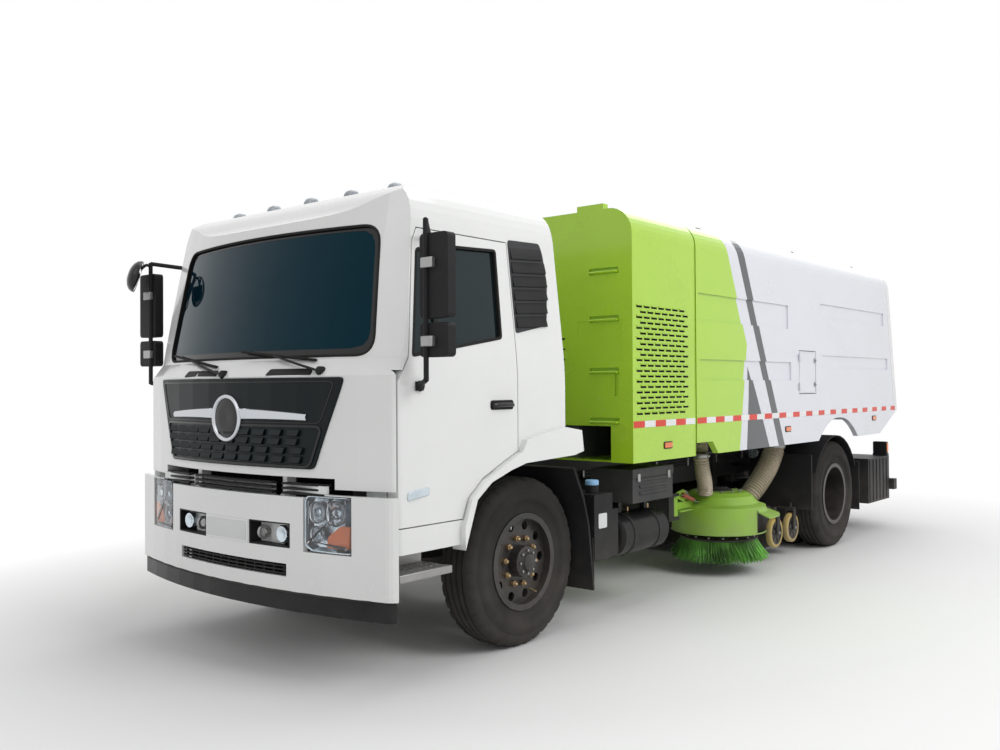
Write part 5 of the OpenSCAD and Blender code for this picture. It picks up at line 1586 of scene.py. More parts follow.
@dataclass
class FrontEnd(Assembly):
    """Headlamps, fog recesses, slots and valance of the bumper, which stays when the cab tilts."""

    front: float = -1420
    sweep: float = 4200
    tub: tuple[float, float, float, float] = (213, 541, 732, 868)
    tub_wall: float = 8

    def face(self, x: float, z: float, lift: float) -> Point:
        """A point proud of the bumper's face by a lift."""
        return (x, self.front + x * x / (2 * self.sweep) - lift, z)

    def _strip(self, x0: float, x1: float, z0: float, z1: float, lift: Pair,
            steps: int = 16) -> list[list[Point]]:
        """Sections of a strip that follows the bumper's face."""
        return [[self.face(x0 + (x1 - x0) * k / steps, z, a) for z, a in ((z0, lift[0]), (z0, lift[1]),
            (z1, lift[1]), (z1, lift[0]))] for k in range(steps + 1)]

    def build(self) -> None:
        """Makes the bumper's pieces and both headlamps."""
        shop = self.shop
        slot = self.shape()
        for k in range(3):
            for x0, x1 in ((-780, -456), (-380, 380), (456, 780)):
                slot.loft(self._strip(x0, x1, 1024 + 26 * k, 1036 + 26 * k, (-60, -22)))
        slot.done("slot_blades", "chassis", shop.plastic, 2)
        # Near-black plates behind the bumper's slots and lower intake: painted shade for the dark space behind
        # the openings.
        plate = self.shape().loft(self._strip(-800, 800, 960, 1112, (-190, -184)))
        plate.done("slot_back", "chassis", shop.dark)
        back = self.shape().loft(self._strip(-500, 500, 560, 660, (-64, -60)))
        back.done("intake_back", "chassis", shop.dark)
        low = self.shape()
        for k in range(3):
            low.loft(self._strip(-512, 512, 584 + 20 * k, 592 + 20 * k, (-40, -12)))
        for k in range(13):
            x = -480 + 80 * k
            low.loft(self._strip(x - 4, x + 4, 576, 644, (-36, -16), 1))
        low.done("intake_bars", "chassis", shop.plastic, 1)
        middle = self.shape().loft(self._strip(-205, 205, 735, 865, (-1, 4)))
        middle.done("blank_plate_panel", "chassis", shop.white, 2)
        holder = self.shape().loft(self._strip(-190, 190, 748, 852, (3, 7)))
        holder.done("blank_plate", "chassis", shop.label, 1)
        for side in Side:
            self._lamp(side)
            self._recess(side)
        lip = self.shape().loft(self._strip(-1080, 1080, 486, 500, (-30, 0)))
        lip.done("bumper_underside", "chassis", shop.plastic, 2)

    def _recess(self, side: Side) -> None:
        """The fog lamp's dark tub, its lamp and the tow eye.

        Args:
            side: The side of the truck.
        """
        shop, s = self.shop, side.value
        tub = self.shape()
        inner, outer, low, top = self.tub
        t = self.tub_wall
        for x0, x1, z0, z1, a, b in ((inner, outer, low, low + t, -95, -2),
                (inner, outer, top - t, top, -95, -2), (inner, inner + t, low + t, top - t, -95, -2),
                (outer - t, outer, low + t, top - t, -95, -2), (inner, outer, low, top, -100, -94)):
            tub.loft(self._strip(s * x0, s * x1, z0, z1, (a, b), 6))
        tub.done(f"{side.word}_fog_tub", "chassis", shop.plastic, 1)
        lamp = self.shape().lathe([(0, 0.5), (-12, 30), (-14, 44), (-4, 50), (30, 44), (38, 20), (38, 0.5)],
            (s * 455, self.front + 60, 800), Axis.Y, 32)
        lamp.done(f"{side.word}_fog_lamp", "chassis", shop.reflector, 0, 45)
        eye = self.shape().rod([(s * 300, -1325, 800), (s * 300, -1368, 800)], 17, 16)
        eye.lathe([(-8, 24), (8, 24), (8, 40), (-8, 40)], (s * 300, -1375, 800), Axis.X, 24)
        eye.done(f"{side.word}_tow_eye", "chassis", shop.steel, 1)

    def _lamp(self, side: Side) -> None:
        """A clear headlamp with bowls behind its lens and an amber corner.

        Args:
            side: The side of the truck.
        """
        shop, s = self.shop, side.value
        outline = Cab.soften([(648, 760), (700, 730), (948, 726), (958, 770), (958, 1000), (930, 1026),
            (668, 1026), (648, 1000)], 14, 3)
        line = Cab.dense(outline, 45)
        def wrap(x: float, z: float, lift: float) -> Point:
            """A point on the lamp's face, which turns back a little at its outer edge."""
            return self.face(s * x, z, lift - max(0.0, x - 860) ** 2 / 900)

        lens = self.shape()
        rings = [lens._points(wrap(x, z, lift) for x, z in ring) for ring,
            lift in ((line, -14), (line, -1), (Cab.grown(line, -12), 1), (Cab.grown(line, -40), 2))]
        lens._skin(rings, False, False)
        lens.bm.faces.new(rings[-1])
        glass = lens.done(f"{side.word}_lamp_lens", "chassis", shop.lens, 0, 60, slot="lamp_glass")
        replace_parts(glass, "lamps")
        back = self.shape()
        sections = [[wrap(x, z, lift) for x, z in line] for lift in (-86, -80)]
        back.loft(sections)
        back.done(f"{side.word}_lamp_back", "chassis", shop.reflector, 0)
        wall = self.shape()
        rings = [wall._points(wrap(x, z, lift) for x, z in ring) for ring,
            lift in ((line, -84), (line, -12), (Cab.grown(line, -7), -12), (Cab.grown(line, -22), -84))]
        wall._skin(rings, False, False)
        wall.done(f"{side.word}_lamp_frame", "chassis", shop.reflector, 0, 60)
        for name, x, z, r in (("low", 850, 938, 62), ("high", 725, 938, 52), ("side", 725, 820, 40)):
            depth = self.front + x * x / (2 * self.sweep)
            bowl = self.shape().lathe([(18, r), (40, r * 0.82), (64, r * 0.45), (70, 0.5), (76, 0.5),
                (70, r * 0.6), (24, r + 8), (16, r + 8)], (s * x, depth, z), Axis.Y, 36)
            bowl.done(f"{side.word}_bowl_{name}", "chassis", shop.chrome, 0, 60)
            bulb = self.shape().lathe([(36, 0.5), (40, r * 0.34), (56, r * 0.34), (64, 0.5)], (s * x, depth, z),
                Axis.Y, 24, False)
            bulb.done(f"{side.word}_bulb_{name}", "chassis", shop.reflector, 0, 60)
        amber = Cab.soften([(792, 754), (930, 752), (936, 872), (884, 876), (800, 812)], 12, 3)
        corner = self.shape().loft([[wrap(x, z, lift) for x, z in Cab.dense(amber, 40)] for lift in (-44, -16)])
        corner.done(f"{side.word}_turn_lens", "chassis", shop.orange, 3)
        for x in (660, 790, 900):
            fin = self.shape().loft([[wrap(x + d, z, lift) for d, lift in ((-2, -80), (2, -80), (2, -30),
                (-2, -30))] for z in (870, 1010)])
            fin.done(f"{side.word}_lamp_fin_{x}", "chassis", shop.chrome)


# ---------------------------------------------------------------- sweeper body


@dataclass
class Body(Assembly):
    """Louvres, tape, markers, hatch trim and roof fittings of the fan housing and the hopper."""

    half: float = 1262
    housing: Pair = (985, 1875)
    hatch: tuple[Pair, Pair] = ((3856, 1541), (4231, 1905))
    hatch_seam: float = 5

    def build(self) -> None:
        """Makes the pieces on both flanks, on the housing's face and on the roof."""
        for side in Side:
            self._louvres(side)
            self._tape(side)
            self._markers(side)
        self._face()
        self._hatch()
        self._roof()
        self._door()

    def _louvres(self, side: Side) -> None:
        """Staggered rows of pressed air slots on the housing's flank, their openings drawn as near-black boxes
        of painted shade.

        Args:
            side: The side of the truck.
        """
        s = side.value
        # Each slot opening is a thin near-black box: painted shade under its green hood.
        slot = Shape(ORIGIN).box((-0.6, -38, -7), (0.8, 38, 7))
        start = self.datum.place(s * self.half, 1075, 1412)
        steps = {"Columns": 7, "Rows": 21, "Start": start, "Column_Step": (0.0, 0.1, 0.0),
            "Row_Step": (0.0, 0.0, 0.0375), "Stagger": 0.5}
        self.pattern.make(self.pattern.grid, slot, f"{side.word}_air_slots", "chassis", self.shop.dark, **steps)
        hood = Shape(ORIGIN)
        profile = [(0.0, 6.0), (s * 5.0, 7.0), (s * 6.5, 12.0), (0.0, 17.0)]
        hood.loft([[(x, y, z) for x, z in profile] for y in (-40, 40)])
        self.pattern.make(self.pattern.grid, hood, f"{side.word}_slot_hoods", "chassis", self.shop.green,
            **steps)

    def _tape(self, side: Side) -> None:
        """Red and white reflective tape along the lower edge, in pieces on each body.

        Args:
            side: The side of the truck.
        """
        s, z0, z1 = side.value, 1316, 1362
        for body, y0, y1 in (("chassis", 992, 1868), ("hopper", 1902, 6540)):
            count = round((y1 - y0) / 150)
            step = (y1 - y0) / count
            for word, material, first, share in (("red", self.shop.tape_red, 0, 1),
                    ("white", self.shop.tape_white, 1, 1)):
                shape = self.shape()
                for k in range(first, count, 2):
                    a = y0 + step * k
                    shape.box((s * self.half - 0.4, a, z0), (s * self.half + 1.2, a + step * share, z1))
                shape.done(f"{side.word}_{body}_tape_{word}", body, material)

    def _markers(self, side: Side) -> None:
        """Amber side markers in black bezels.

        Args:
            side: The side of the truck.
        """
        s = side.value
        for index, (body, y, z) in enumerate((("chassis", 1457, 1177), ("hopper", 3585, 1212),
                ("hopper", 5847, 1244))):
            bezel = self.shape().prism(rounded((y - 62, z - 26), (y + 62, z + 26), 14), Axis.X,
                s * (self.half - 1), s * (self.half + 5))
            bezel.done(f"{side.word}_marker_bezel_{index}", body, self.shop.plastic, 1)
            lens = self.shape().prism(rounded((y - 54, z - 19), (y + 54, z + 19), 10), Axis.X,
                s * (self.half + 4), s * (self.half + 10))
            lens.done(f"{side.word}_marker_{index}", body, self.shop.orange, 2)

    def _face(self) -> None:
        """Air slots, ladder rungs and lamp brackets on the housing's front."""
        front = self.housing[0]
        # Each slot opening is a thin near-black box: painted shade under its green hood.
        slot = Shape(ORIGIN).box((-38, -0.8, -7), (38, 0.6, 7))
        steps = {"Columns": 14, "Rows": 16, "Start": self.datum.place(-700, front, 1390),
            "Column_Step": (0.1, 0.0, 0.0), "Row_Step": (0.0, 0.0, 0.0375), "Stagger": 0.5}
        self.pattern.make(self.pattern.grid, slot, "front_air_slots", "chassis", self.shop.dark, **steps)
        hood = Shape(ORIGIN).loft([[(x, y, z) for y, z in ((0, 6), (-5, 7), (-6.5, 12), (0, 17))] for x
            in (-40, 40)])
        self.pattern.make(self.pattern.grid, hood, "front_slot_hoods", "chassis", self.shop.green, **steps)
        rungs = self.shape()
        for z in (1362, 1714, 2081, 2420):
            rungs.rod([(915, front + 16, z - 8), (915, front - 14, z - 8), (1140, front - 14, z - 8),
                (1140, front + 16, z - 8)], 9, 10)
        rungs.done("ladder_rungs", "chassis", self.shop.green, 0)
        for side in Side:
            s = side.value
            loop = self.shape().rod(smooth_path([(s * 830, 1020, 2862), (s * 830, 1018, 2893),
                (s * 870, 1016, 2896), (s * 960, 1016, 2896), (s * 1000, 1018, 2893), (s * 1000, 1020, 2862)],
                5), 7, 8)
            loop.done(f"{side.word}_roof_loop", "chassis", self.shop.chassis)
            seam = self.shape().box((s * self.half - 0.3, 1866, 1075), (s * (self.half) + 2.0 * s, 1874, 2660))
            seam.done(f"{side.word}_housing_flange", "chassis", self.shop.green, 1)

    def _hatch(self) -> None:
        """The hatch's two latches and its pressed edge."""
        shop, x = self.shop, self.half
        latch = self.shape()
        for z in (1610, 1836):
            latch.prism(rounded((4196, z - 22), (4228, z + 22), 8), Axis.X, x - 1, x + 7)
            latch.lathe([(6, 0.5), (14, 8), (18, 7), (18, 0.5)], (x, 4212, z), Axis.X, 16, False)
        latch.done("hatch_latches", "side_hatch", shop.steel, 1)
        frame = self.shape()
        (y0, z0), (y1, z1) = self.hatch
        seam = self.hatch_seam
        for low, high in (((y0, z0 - seam), (y1, z0)), ((y0, z1), (y1, z1 + seam)), ((y0, z0), (y0 + seam, z1)),
                ((y1 - seam, z0), (y1, z1))):
            frame.box((x - 2, low[0], low[1]), (x + 2, high[0], high[1]))
        frame.done("hatch_pressing", "side_hatch", shop.livery, 1)

    def _roof(self) -> None:
        """Lifting eyes, and covers with their bolts on the duct."""
        shop = self.shop
        eyes = self.shape()
        for side in Side:
            for y in (2400, 4300, 5900):
                eyes.rod(smooth_path([(side.value * 1010, y - 60, 2852), (side.value * 1010, y - 50, 2886),
                    (side.value * 1010, y, 2896), (side.value * 1010, y + 50, 2886),
                    (side.value * 1010, y + 60, 2852)], 5), 8, 8)
        eyes.done("roof_eyes", "hopper", shop.steel)
        cover = self.shape()
        for y in (3000, 4200):
            cover.loft([[(x, yy, z) for x, yy in rounded((-300, y - 260), (300, y + 260), 60)] for z
                in (3008, 3029)])
        cover.done("duct_covers", "hopper", shop.tape_white, 6)
        for index, y in enumerate((3000, 4200)):
            self.pattern.make(self.pattern.grid, peg(5, 9), f"duct_bolts_{index}", "hopper", shop.steel,
                Columns=6, Rows=2, Start=self.datum.place(-250, y - 230, 3024), Column_Step=(0.1, 0.0, 0.0),
                Row_Step=(0.0, 0.46, 0.0), Stagger=0.0)

    def _door(self) -> None:
        """Ribs, latches, lamps and tape on the rear door, which leans with it."""
        shop = self.shop
        low, high = (6618, 1324), (6320, 2860)

        def lean(x: float, z: float, lift: float) -> Point:
            """A point proud of the leaning door."""
            t = (z - low[1]) / (high[1] - low[1])
            return (x, low[0] + (high[0] - low[0]) * t + lift, z)

        ribs = self.shape()
        for x in (-900, -300, 300, 900):
            ribs.loft([[lean(x - 35, z, 0), lean(x - 20, z, 26), lean(x + 20, z, 26), lean(x + 35, z, 0)] for z
                in (1420, 1600, 2200, 2640)])
        for z in (1480, 1960, 2440):
            ribs.loft([[lean(x, z - 35, 0), lean(x, z - 20, 22), lean(x, z + 20, 22), lean(x, z + 35, 0)] for x
                in (-1100, 0, 1100)])
        ribs.done("door_ribs", "rear_door", shop.tape_white, 3)
        for side in Side:
            s = side.value
            for word, material, x in (("stop", shop.red, 1090), ("turn", shop.orange, 1010)):
                lamp = [(s * (x + a), b) for a, b in rounded((-36, 2560), (36, 2680), 14)]
                self.shape().loft([[lean(a, b, lift) for a, b in lamp] for lift in (-2, 22)]).done(
                    f"{side.word}_high_{word}", "rear_door", material, 4)
            latch = self.shape().box((s * 1180 - 30, 6560, 1400), (s * 1180 + 30, 6640, 1480))
            latch.done(f"{side.word}_door_latch", "rear_door", shop.steel, 4)
        board = self.shape()
        for k in range(0, 14, 2):
            board.loft([[lean(-980 + 140 * (k + d), z, lift) for z, lift
                in ((1350, 0), (1350, 2), (1396, 2), (1396, 0))] for d in (0, 1)])
        board.done("door_tape_red", "rear_door", shop.tape_red)


# ---------------------------------------------------------------- chassis details


@dataclass
class Underside(Assembly):
    """Tank caps, straps, louvres, pipes, flaps, steps and rear lamps hung on the frame."""

    def build(self) -> None:
        """Makes the left and right equipment."""
        shop = self.shop
        cap = self.shape().lathe([(0, 0.5), (0, 47), (26, 47), (34, 42), (34, 0.5)], (1080, 745, 936), Axis.Z,
            32)
        cap.done("fluid_cap", "chassis", shop.cap_blue, 2)
        self.shape().prism(rounded((690, 650), (790, 750), 12), Axis.X, 1169, 1171.5).done("fluid_label",
            "chassis", shop.label)
        self._battery()
        self._cylinders()
        self._steps()
        self._flaps()
        self._rear()
        self._pipes()
        self._engine()

    def _battery(self) -> None:
        """Pressed louvres, a lid rim and latches on the battery box."""
        shop = self.shop
        low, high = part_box("battery_box")
        x = high.x / MM
        y0, y1 = ((v.y - self.datum.axle_y) / MM for v in (low, high))
        z0, z1 = low.z / MM, high.z / MM
        louvres = self.shape()
        for k in range(3):
            z = z0 + (z1 - z0) * (0.28 + 0.2 * k)
            louvres.loft([[(x - 1, y, z - 14), (x + 10, y, z - 10), (x + 10, y, z + 4), (x - 1, y, z + 14)]
                for y in (y0 + 90, y1 - 90)])
        louvres.done("battery_louvres", "chassis", shop.grey_plastic, 3)
        rim = self.shape().prism(rounded((y0 - 6, z1 - 60), (y1 + 6, z1 + 6), 12), Axis.X, x - 12, x + 6)
        rim.done("battery_lid_rim", "chassis", shop.grey_plastic, 3)
        clips = self.shape()
        for y in (y0 + 70, y1 - 70):
            clips.box((x + 4, y - 16, z1 - 86), (x + 14, y + 16, z1 - 30))
        clips.done("battery_clips", "chassis", shop.steel, 2)

    def _cylinders(self) -> None:
        """Straps and domed ends for the air cylinders and the fuel tank."""
        shop = self.shop
        straps = self.shape()
        for y in (1180, 1520):
            straps.lathe([(-18, 150), (18, 150), (18, 154), (-18, 154)], (1010, y, 545), Axis.Y, 48)
        straps.done("air_straps", "chassis", shop.plastic)
        for index, (y, sign) in enumerate(((1050, -1), (1640, 1))):
            end = [(0, 148), (sign * 10, 140), (sign * 22, 110), (sign * 30, 60), (sign * 32, 0.5), (0, 0.5)]
            self.shape().lathe(end, (1010, y, 545), Axis.Y, 40).done(f"air_end_{index}", "chassis",
                shop.tank_black, 0, 50)
        fittings = self.shape()
        for y in (1120, 1300, 1580):
            fittings.rod([(1010, y, 690), (1010, y, 726)], 9, 6)
            fittings.rod([(1010, y, 718), (980, y, 718)], 6, 6)
        fittings.done("air_fittings", "chassis", shop.brass)
        low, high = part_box("fuel_tank")
        y0, y1 = ((v.y - self.datum.axle_y) / MM for v in (low, high))
        x, z0, z1 = low.x / MM, low.z / MM, high.z / MM
        bands = self.shape()
        for y in (y0 + 160, y1 - 160):
            bands.box((x - 3, y - 22, z0 + 30), (x + 2, y + 22, z1 - 60))
        bands.done("fuel_straps", "chassis", shop.steel, 2)
        neck = self.shape().lathe([(0, 0.5), (0, 58), (30, 58), (36, 50), (36, 0.5)],
            (x + 140, y0 + 260, z1 - 90), Axis.Z, 32)
        neck.done("fuel_cap", "chassis", shop.gloss_black, 2)

    def _steps(self) -> None:
        """Raised grips and a front lip on the cab's lower steps."""
        for side in Side:
            s = side.value
            self.pattern.make(self.pattern.grid, peg(3, 10, 8, 7), f"{side.word}_step_grips", "chassis",
                self.shop.steel, Columns=9, Rows=4, Start=self.datum.place(s * 1080 - 90, -1160, 626),
                Column_Step=(0.0, 0.042, 0.0), Row_Step=(0.06, 0.0, 0.0), Stagger=0.5)
            lip = self.shape().box((s * 1190 - 12, -1190, 588), (s * 1190 + 12, -790, 630))
            lip.done(f"{side.word}_step_lip", "chassis", self.shop.steel, 4)

    def _flaps(self) -> None:
        """Hanging rubber flaps behind the front wheels and edge strips on the front guards."""
        for side in Side:
            s = side.value
            flap = self.shape()
            flap.loft([[(s * 690, 612 + bow, z), (s * 690, 620 + bow, z), (s * 1175, 620 + bow, z),
                (s * 1175, 612 + bow, z)] for z, bow in ((250, 6), (330, 9), (420, 7), (520, 2), (600, 0))])
            flap.done(f"{side.word}_front_flap", "chassis", self.shop.rubber, 2)
            edge = self.shape()
            edge.loft([[(s * x, y, z) for x, z in ((1186, z0), (1186, z0 + 1), (1170, z0 + 1), (1170, z0))]
                for y, z0 in ((552, 700), (497, 880), (394, 1080))])
            edge.done(f"{side.word}_guard_edge", "chassis", self.shop.plastic, 1)

    def _rear(self) -> None:
        """Tail lamps in their boxes, side markers, red and white marker stripes on the rear beam and ribs on
        the corner boxes.
        """
        shop, rear = self.shop, WHEELBASE + REAR_OVERHANG
        for side in Side:
            s = side.value
            for word, material, x0, x1 in (("turn", shop.orange, 1012, 1056), ("stop", shop.red, 1058, 1102),
                    ("back", shop.lens, 1104, 1148)):
                lamp = self.shape().prism([(s * a, b) for a, b in rounded((x0, 828), (x1, 942), 8)], Axis.Y,
                    6622, 6634)
                lamp.done(f"{side.word}_tail_{word}", "chassis", material, 3)
            housing = self.shape().prism([(s * a, b) for a, b in rounded((1004, 820), (1156, 950), 12)], Axis.Y,
                6566, 6624)
            housing.done(f"{side.word}_tail_box", "chassis", shop.plastic, 3)
            marker = self.shape().prism([(6572, 838), (6618, 838), (6618, 934), (6572, 934)], Axis.X, s * 1155,
                s * 1164)
            marker.done(f"{side.word}_tail_marker", "chassis", shop.orange, 3)
            for k in range(4):
                tape = self.shape().box((s * (300 + 220 * k) - 50, rear - 1, 430),
                    (s * (300 + 220 * k) + 50, rear - 0.2, 490))
                tape.done(f"{side.word}_beam_tape_{k}", "chassis", shop.tape_red if k % 2 else shop.tape_white)
        ribs = self.shape()
        for side in Side:
            for k in range(6):
                y = 6030 + 110 * k
                x0, x1 = sorted((side.value * 1150, side.value * 1156))
                ribs.box((x0, y - 10, 320), (x1, y + 10, 770))
        ribs.done("corner_box_ribs", "chassis", shop.plastic, 2)

    def _pipes(self) -> None:
        """Brake and hydraulic lines clipped along the rails and looped down towards the brush arms, and a work
        lamp on each side.
        """
        shop = self.shop
        for side in Side:
            s = side.value
            lines = self.shape()
            for k, z in enumerate((880, 905, 930)):
                lines.rod([(s * (438 + 3 * k), -900, z), (s * (438 + 3 * k), 5900, z)], 6, 8)
            lines.done(f"{side.word}_rail_lines", "chassis", shop.rubber)
            clips = self.shape()
            for k in range(12):
                clips.box((s * 440 - 12, -700 + 560 * k, 868), (s * 440 + 12, -680 + 560 * k, 942))
            clips.done(f"{side.word}_line_clips", "chassis", shop.steel, 1)
            loop = self.shape()
            for dz in (0, 26):
                loop.rod(smooth_path([(s * 470, 2380 + dz, 880), (s * 560, 2360 + dz, 820),
                    (s * 640, 2340 + dz, 700), (s * 700, 2332 + dz, 660), (s * 748, 2330 + dz, 650)], 6), 8, 8)
            loop.done(f"{side.word}_brush_lines", "chassis", shop.rubber)
            lamp = self.shape().lathe([(0, 0.5), (0, 50), (30, 52), (46, 40), (46, 0.5)],
                (s * 770, WHEELBASE - 900, 960), Axis.Y, 28)
            lamp.done(f"{side.word}_work_lamp", "chassis", shop.reflector, 1)

    def _engine(self) -> None:
        """A fan, covers and side ribs on the truck's engine."""
        shop = self.shop
        fan = self.shape().lathe([(0, 0.5), (0, 240), (-20, 240), (-24, 90), (-40, 80), (-40, 0.5)],
            (0, -822, 800), Axis.Y, 40)
        fan.done("engine_fan", "chassis", shop.plastic, 1)
        cover = self.shape()
        for y in (-620, -380, -140, 100, 340):
            cover.box((-180, y - 90, 1049), (180, y + 90, 1062))
        cover.done("engine_covers", "chassis", shop.engine, 6)
        ribs = self.shape()
        for side in Side:
            for k in range(8):
                x0, x1 = sorted((side.value * 319, side.value * 330))
                ribs.box((x0, -760 + 150 * k, 620), (x1, -740 + 150 * k, 1010))
        ribs.done("engine_ribs", "chassis", shop.engine, 2)
# ---------------------------------------------------------------- brushes


@dataclass
class Brushes(Assembly):
    """The side brushes with their tufts, hood bolts, lug, small cylinder and chain."""

    centre: Pair = (890, 2960)
    plate_r: float = 330
    plate_z: Pair = (290, 345)
    hood_r: float = 400
    pivot: Point = (800, 2330, 610)
    tuft_rings: tuple[tuple[float, int], ...] = ((306, 78), (276, 66), (246, 56))
    strand: float = 205

    def build(self) -> None:
        """Makes both sides."""
        for side in Side:
            self._brush(side)
            self._hood(side)
            self._arm(side)

    def _brush(self, side: Side) -> None:
        """The turning plate with its hub, bolts and tufts.

        Args:
            side: The side of the truck.
        """
        body = f"{side.word}_brush"
        x, y = self.centre
        low, high = self.plate_z
        r = self.plate_r
        plate = self.shape().lathe([(low, 26), (low, r - 12), (low + 6, r), (low + 16, r), (low + 20, r - 8),
            (low + 24, r - 70), (low + 40, r - 90), (high - 4, 120), (high, 76), (410, 74), (412, 26)],
            (x, y, 0), Axis.Z, 72)
        for k in range(8):
            angle = math.tau * k / 8
            c, s = math.cos(angle), math.sin(angle)
            plate.loft([[(x + c * u - s * v, y + s * u + c * v, z) for u,
                v in ((80, -7), (250, -5), (250, 5), (80, 7))] for z in (low + 20, low + 46)])
        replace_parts(plate.copy_to(side).done(f"{body}_plate", body, self.shop.chassis, 1.5,
            slot="bristle_green"), body)
        place = self.datum.place(side.value * x, y, 0)
        for label, circle, count, z in (("bolts", r - 26, 16, low + 22), ("hub_bolts", 56, 6, 411)):
            self.pattern.make(self.pattern.ring, peg(12, 11), f"{body}_{label}", body, self.shop.steel,
                Count=count, Radius=circle * MM, Centre=place + Vector((0, 0, z * MM)), Turn=(0.0, 0.0, 0.0),
                Start=0.2)
        for index, (circle, count) in enumerate(self.tuft_rings):
            tuft = Shape(ORIGIN)
            for k in range(5):
                angle = math.tau * k / 5 + index
                a, b = 9 * math.cos(angle), 9 * math.sin(angle)
                far = self.strand * (0.93 + 0.035 * ((k * 2 + index) % 3))
                ring = [(4.2, 0), (0, 4.2), (-4.2, 0), (0, -4.2)]
                tuft.loft([[(a * spread + u * thin, b * spread + v * thin, -far * t) for u, v in ring] for t,
                    spread, thin in ((0.0, 0.7, 1.0), (0.55, 1.5, 1.0), (1.0, 3.4, 0.6))])
            self.pattern.make(self.pattern.bristles, tuft, f"{body}_tufts_{index}", body, self.shop.bristle,
                Count=count, Radius=circle * MM, Seed=11 + index, Centre=place + Vector((0, 0, (low + 6) * MM)),
                Splay=0.40, Scatter=0.10, Swirl=0.16 * side.value)

    def _hood(self, side: Side) -> None:
        """Bolts, a rolled edge and a motor flange on the hood.

        Args:
            side: The side of the truck.
        """
        body = f"{side.word}_brush_arm"
        x, y = self.centre
        place = self.datum.place(side.value * x, y, 0)
        self.pattern.make(self.pattern.ring, peg(10, 10), f"{side.word}_hood_bolts", body, self.shop.steel,
            Count=12, Radius=0.19, Centre=place + Vector((0, 0, 0.694)), Turn=(0.0, 0.0, 0.0), Start=0.1)
        motor = self.shape().lathe([(690, 8), (690, 120), (706, 120), (710, 112), (712, 72), (720, 66),
            (722, 8)], (x, y, 0), Axis.Z, 40)
        motor.box((x - 30, y - 62, 712), (x + 30, y + 10, 722))
        motor.copy_to(side).done(f"{side.word}_motor_flange", body, self.shop.chassis, 1.5)
        rim = self.shape()
        wrap = [self._edge(angle) for angle in range(200, 381, 6)]
        rim.rod([(x + r * math.cos(math.radians(a)), y + r * math.sin(math.radians(a)), z) for a, r, z in wrap],
            7, 10)
        rim.copy_to(side).done(f"{side.word}_hood_lip", body, self.shop.arm_green)

    def _edge(self, angle: float) -> tuple[float, float, float]:
        """The hood's lower lip as an angle, radius and height."""
        return float(angle), self.hood_r - 3, 358.0

    def _arm(self, side: Side) -> None:
        """The arm's bolts, lug, cylinder and chain.

        Args:
            side: The side of the truck.
        """
        arm = f"{side.word}_brush_arm"
        px, py, pz = self.pivot
        pin = self.shape().lathe([(-78, 0.5), (-78, 17), (70, 17), (70, 26), (84, 26), (86, 22), (86, 0.5)],
            (px, py, pz), Axis.Z, 24)
        pin.copy_to(side).done(f"{side.word}_arm_pin", "chassis", self.shop.steel, 1)
        lug = self.shape().prism([(2300, 690), (2440, 640), (2470, 660), (2470, 730), (2430, 745), (2330, 726)],
            Axis.X, px + 32, px + 44)
        lug.prism([(2350, 560), (2600, 560), (2600, 572), (2350, 572)], Axis.X, px + 28, px + 60)
        lug.copy_to(side).done(f"{side.word}_arm_plate", arm, self.shop.arm_green, 1.5)
        jack = self.shape().rod([(px + 66, 2390, 700), (px + 62, 2560, 648)], 17, 20)
        jack.rod([(px + 66, 2376, 704), (px + 66, 2394, 699)], 21, 20)
        jack.copy_to(side).done(f"{side.word}_lift_jack", arm, self.shop.ram, 1)
        stem = self.shape().rod([(px + 62, 2555, 650), (px + 58, 2650, 621)], 8, 14)
        stem.rod([(px + 44, 2650, 620), (px + 74, 2650, 620)], 13, 16)
        stem.rod([(px + 44, 2376, 704), (px + 80, 2376, 704)], 9, 12)
        stem.copy_to(side).done(f"{side.word}_jack_rod", arm, self.shop.chrome)
        link = [(1.0, 9.5 * math.sin(math.tau * k / 14), 13.5 * math.cos(math.tau * k / 14)) for k in range(14)]
        chain = self.shape()
        top, foot = (px + 70, 2420, 735), (px + 74, 2680, 612)
        links = 15
        for i in range(links):
            t = i / (links - 1)
            sag = -28 * math.sin(math.pi * t)
            at = [a + (b - a) * t for a, b in zip(top, foot)]
            turned = i % 2
            ring = [(at[0] + (0 if turned else 6 * (b / 9.5)), at[1] + c * 0.9,
                at[2] + sag - c * 0.42 + (b * 0.8 if turned else 0)) for _, b, c in link]
            chain.rod([*ring, ring[0]], 2.2, 6)
        chain.copy_to(side).done(f"{side.word}_arm_chain", arm, self.shop.steel)


# ---------------------------------------------------------------- suction nozzle


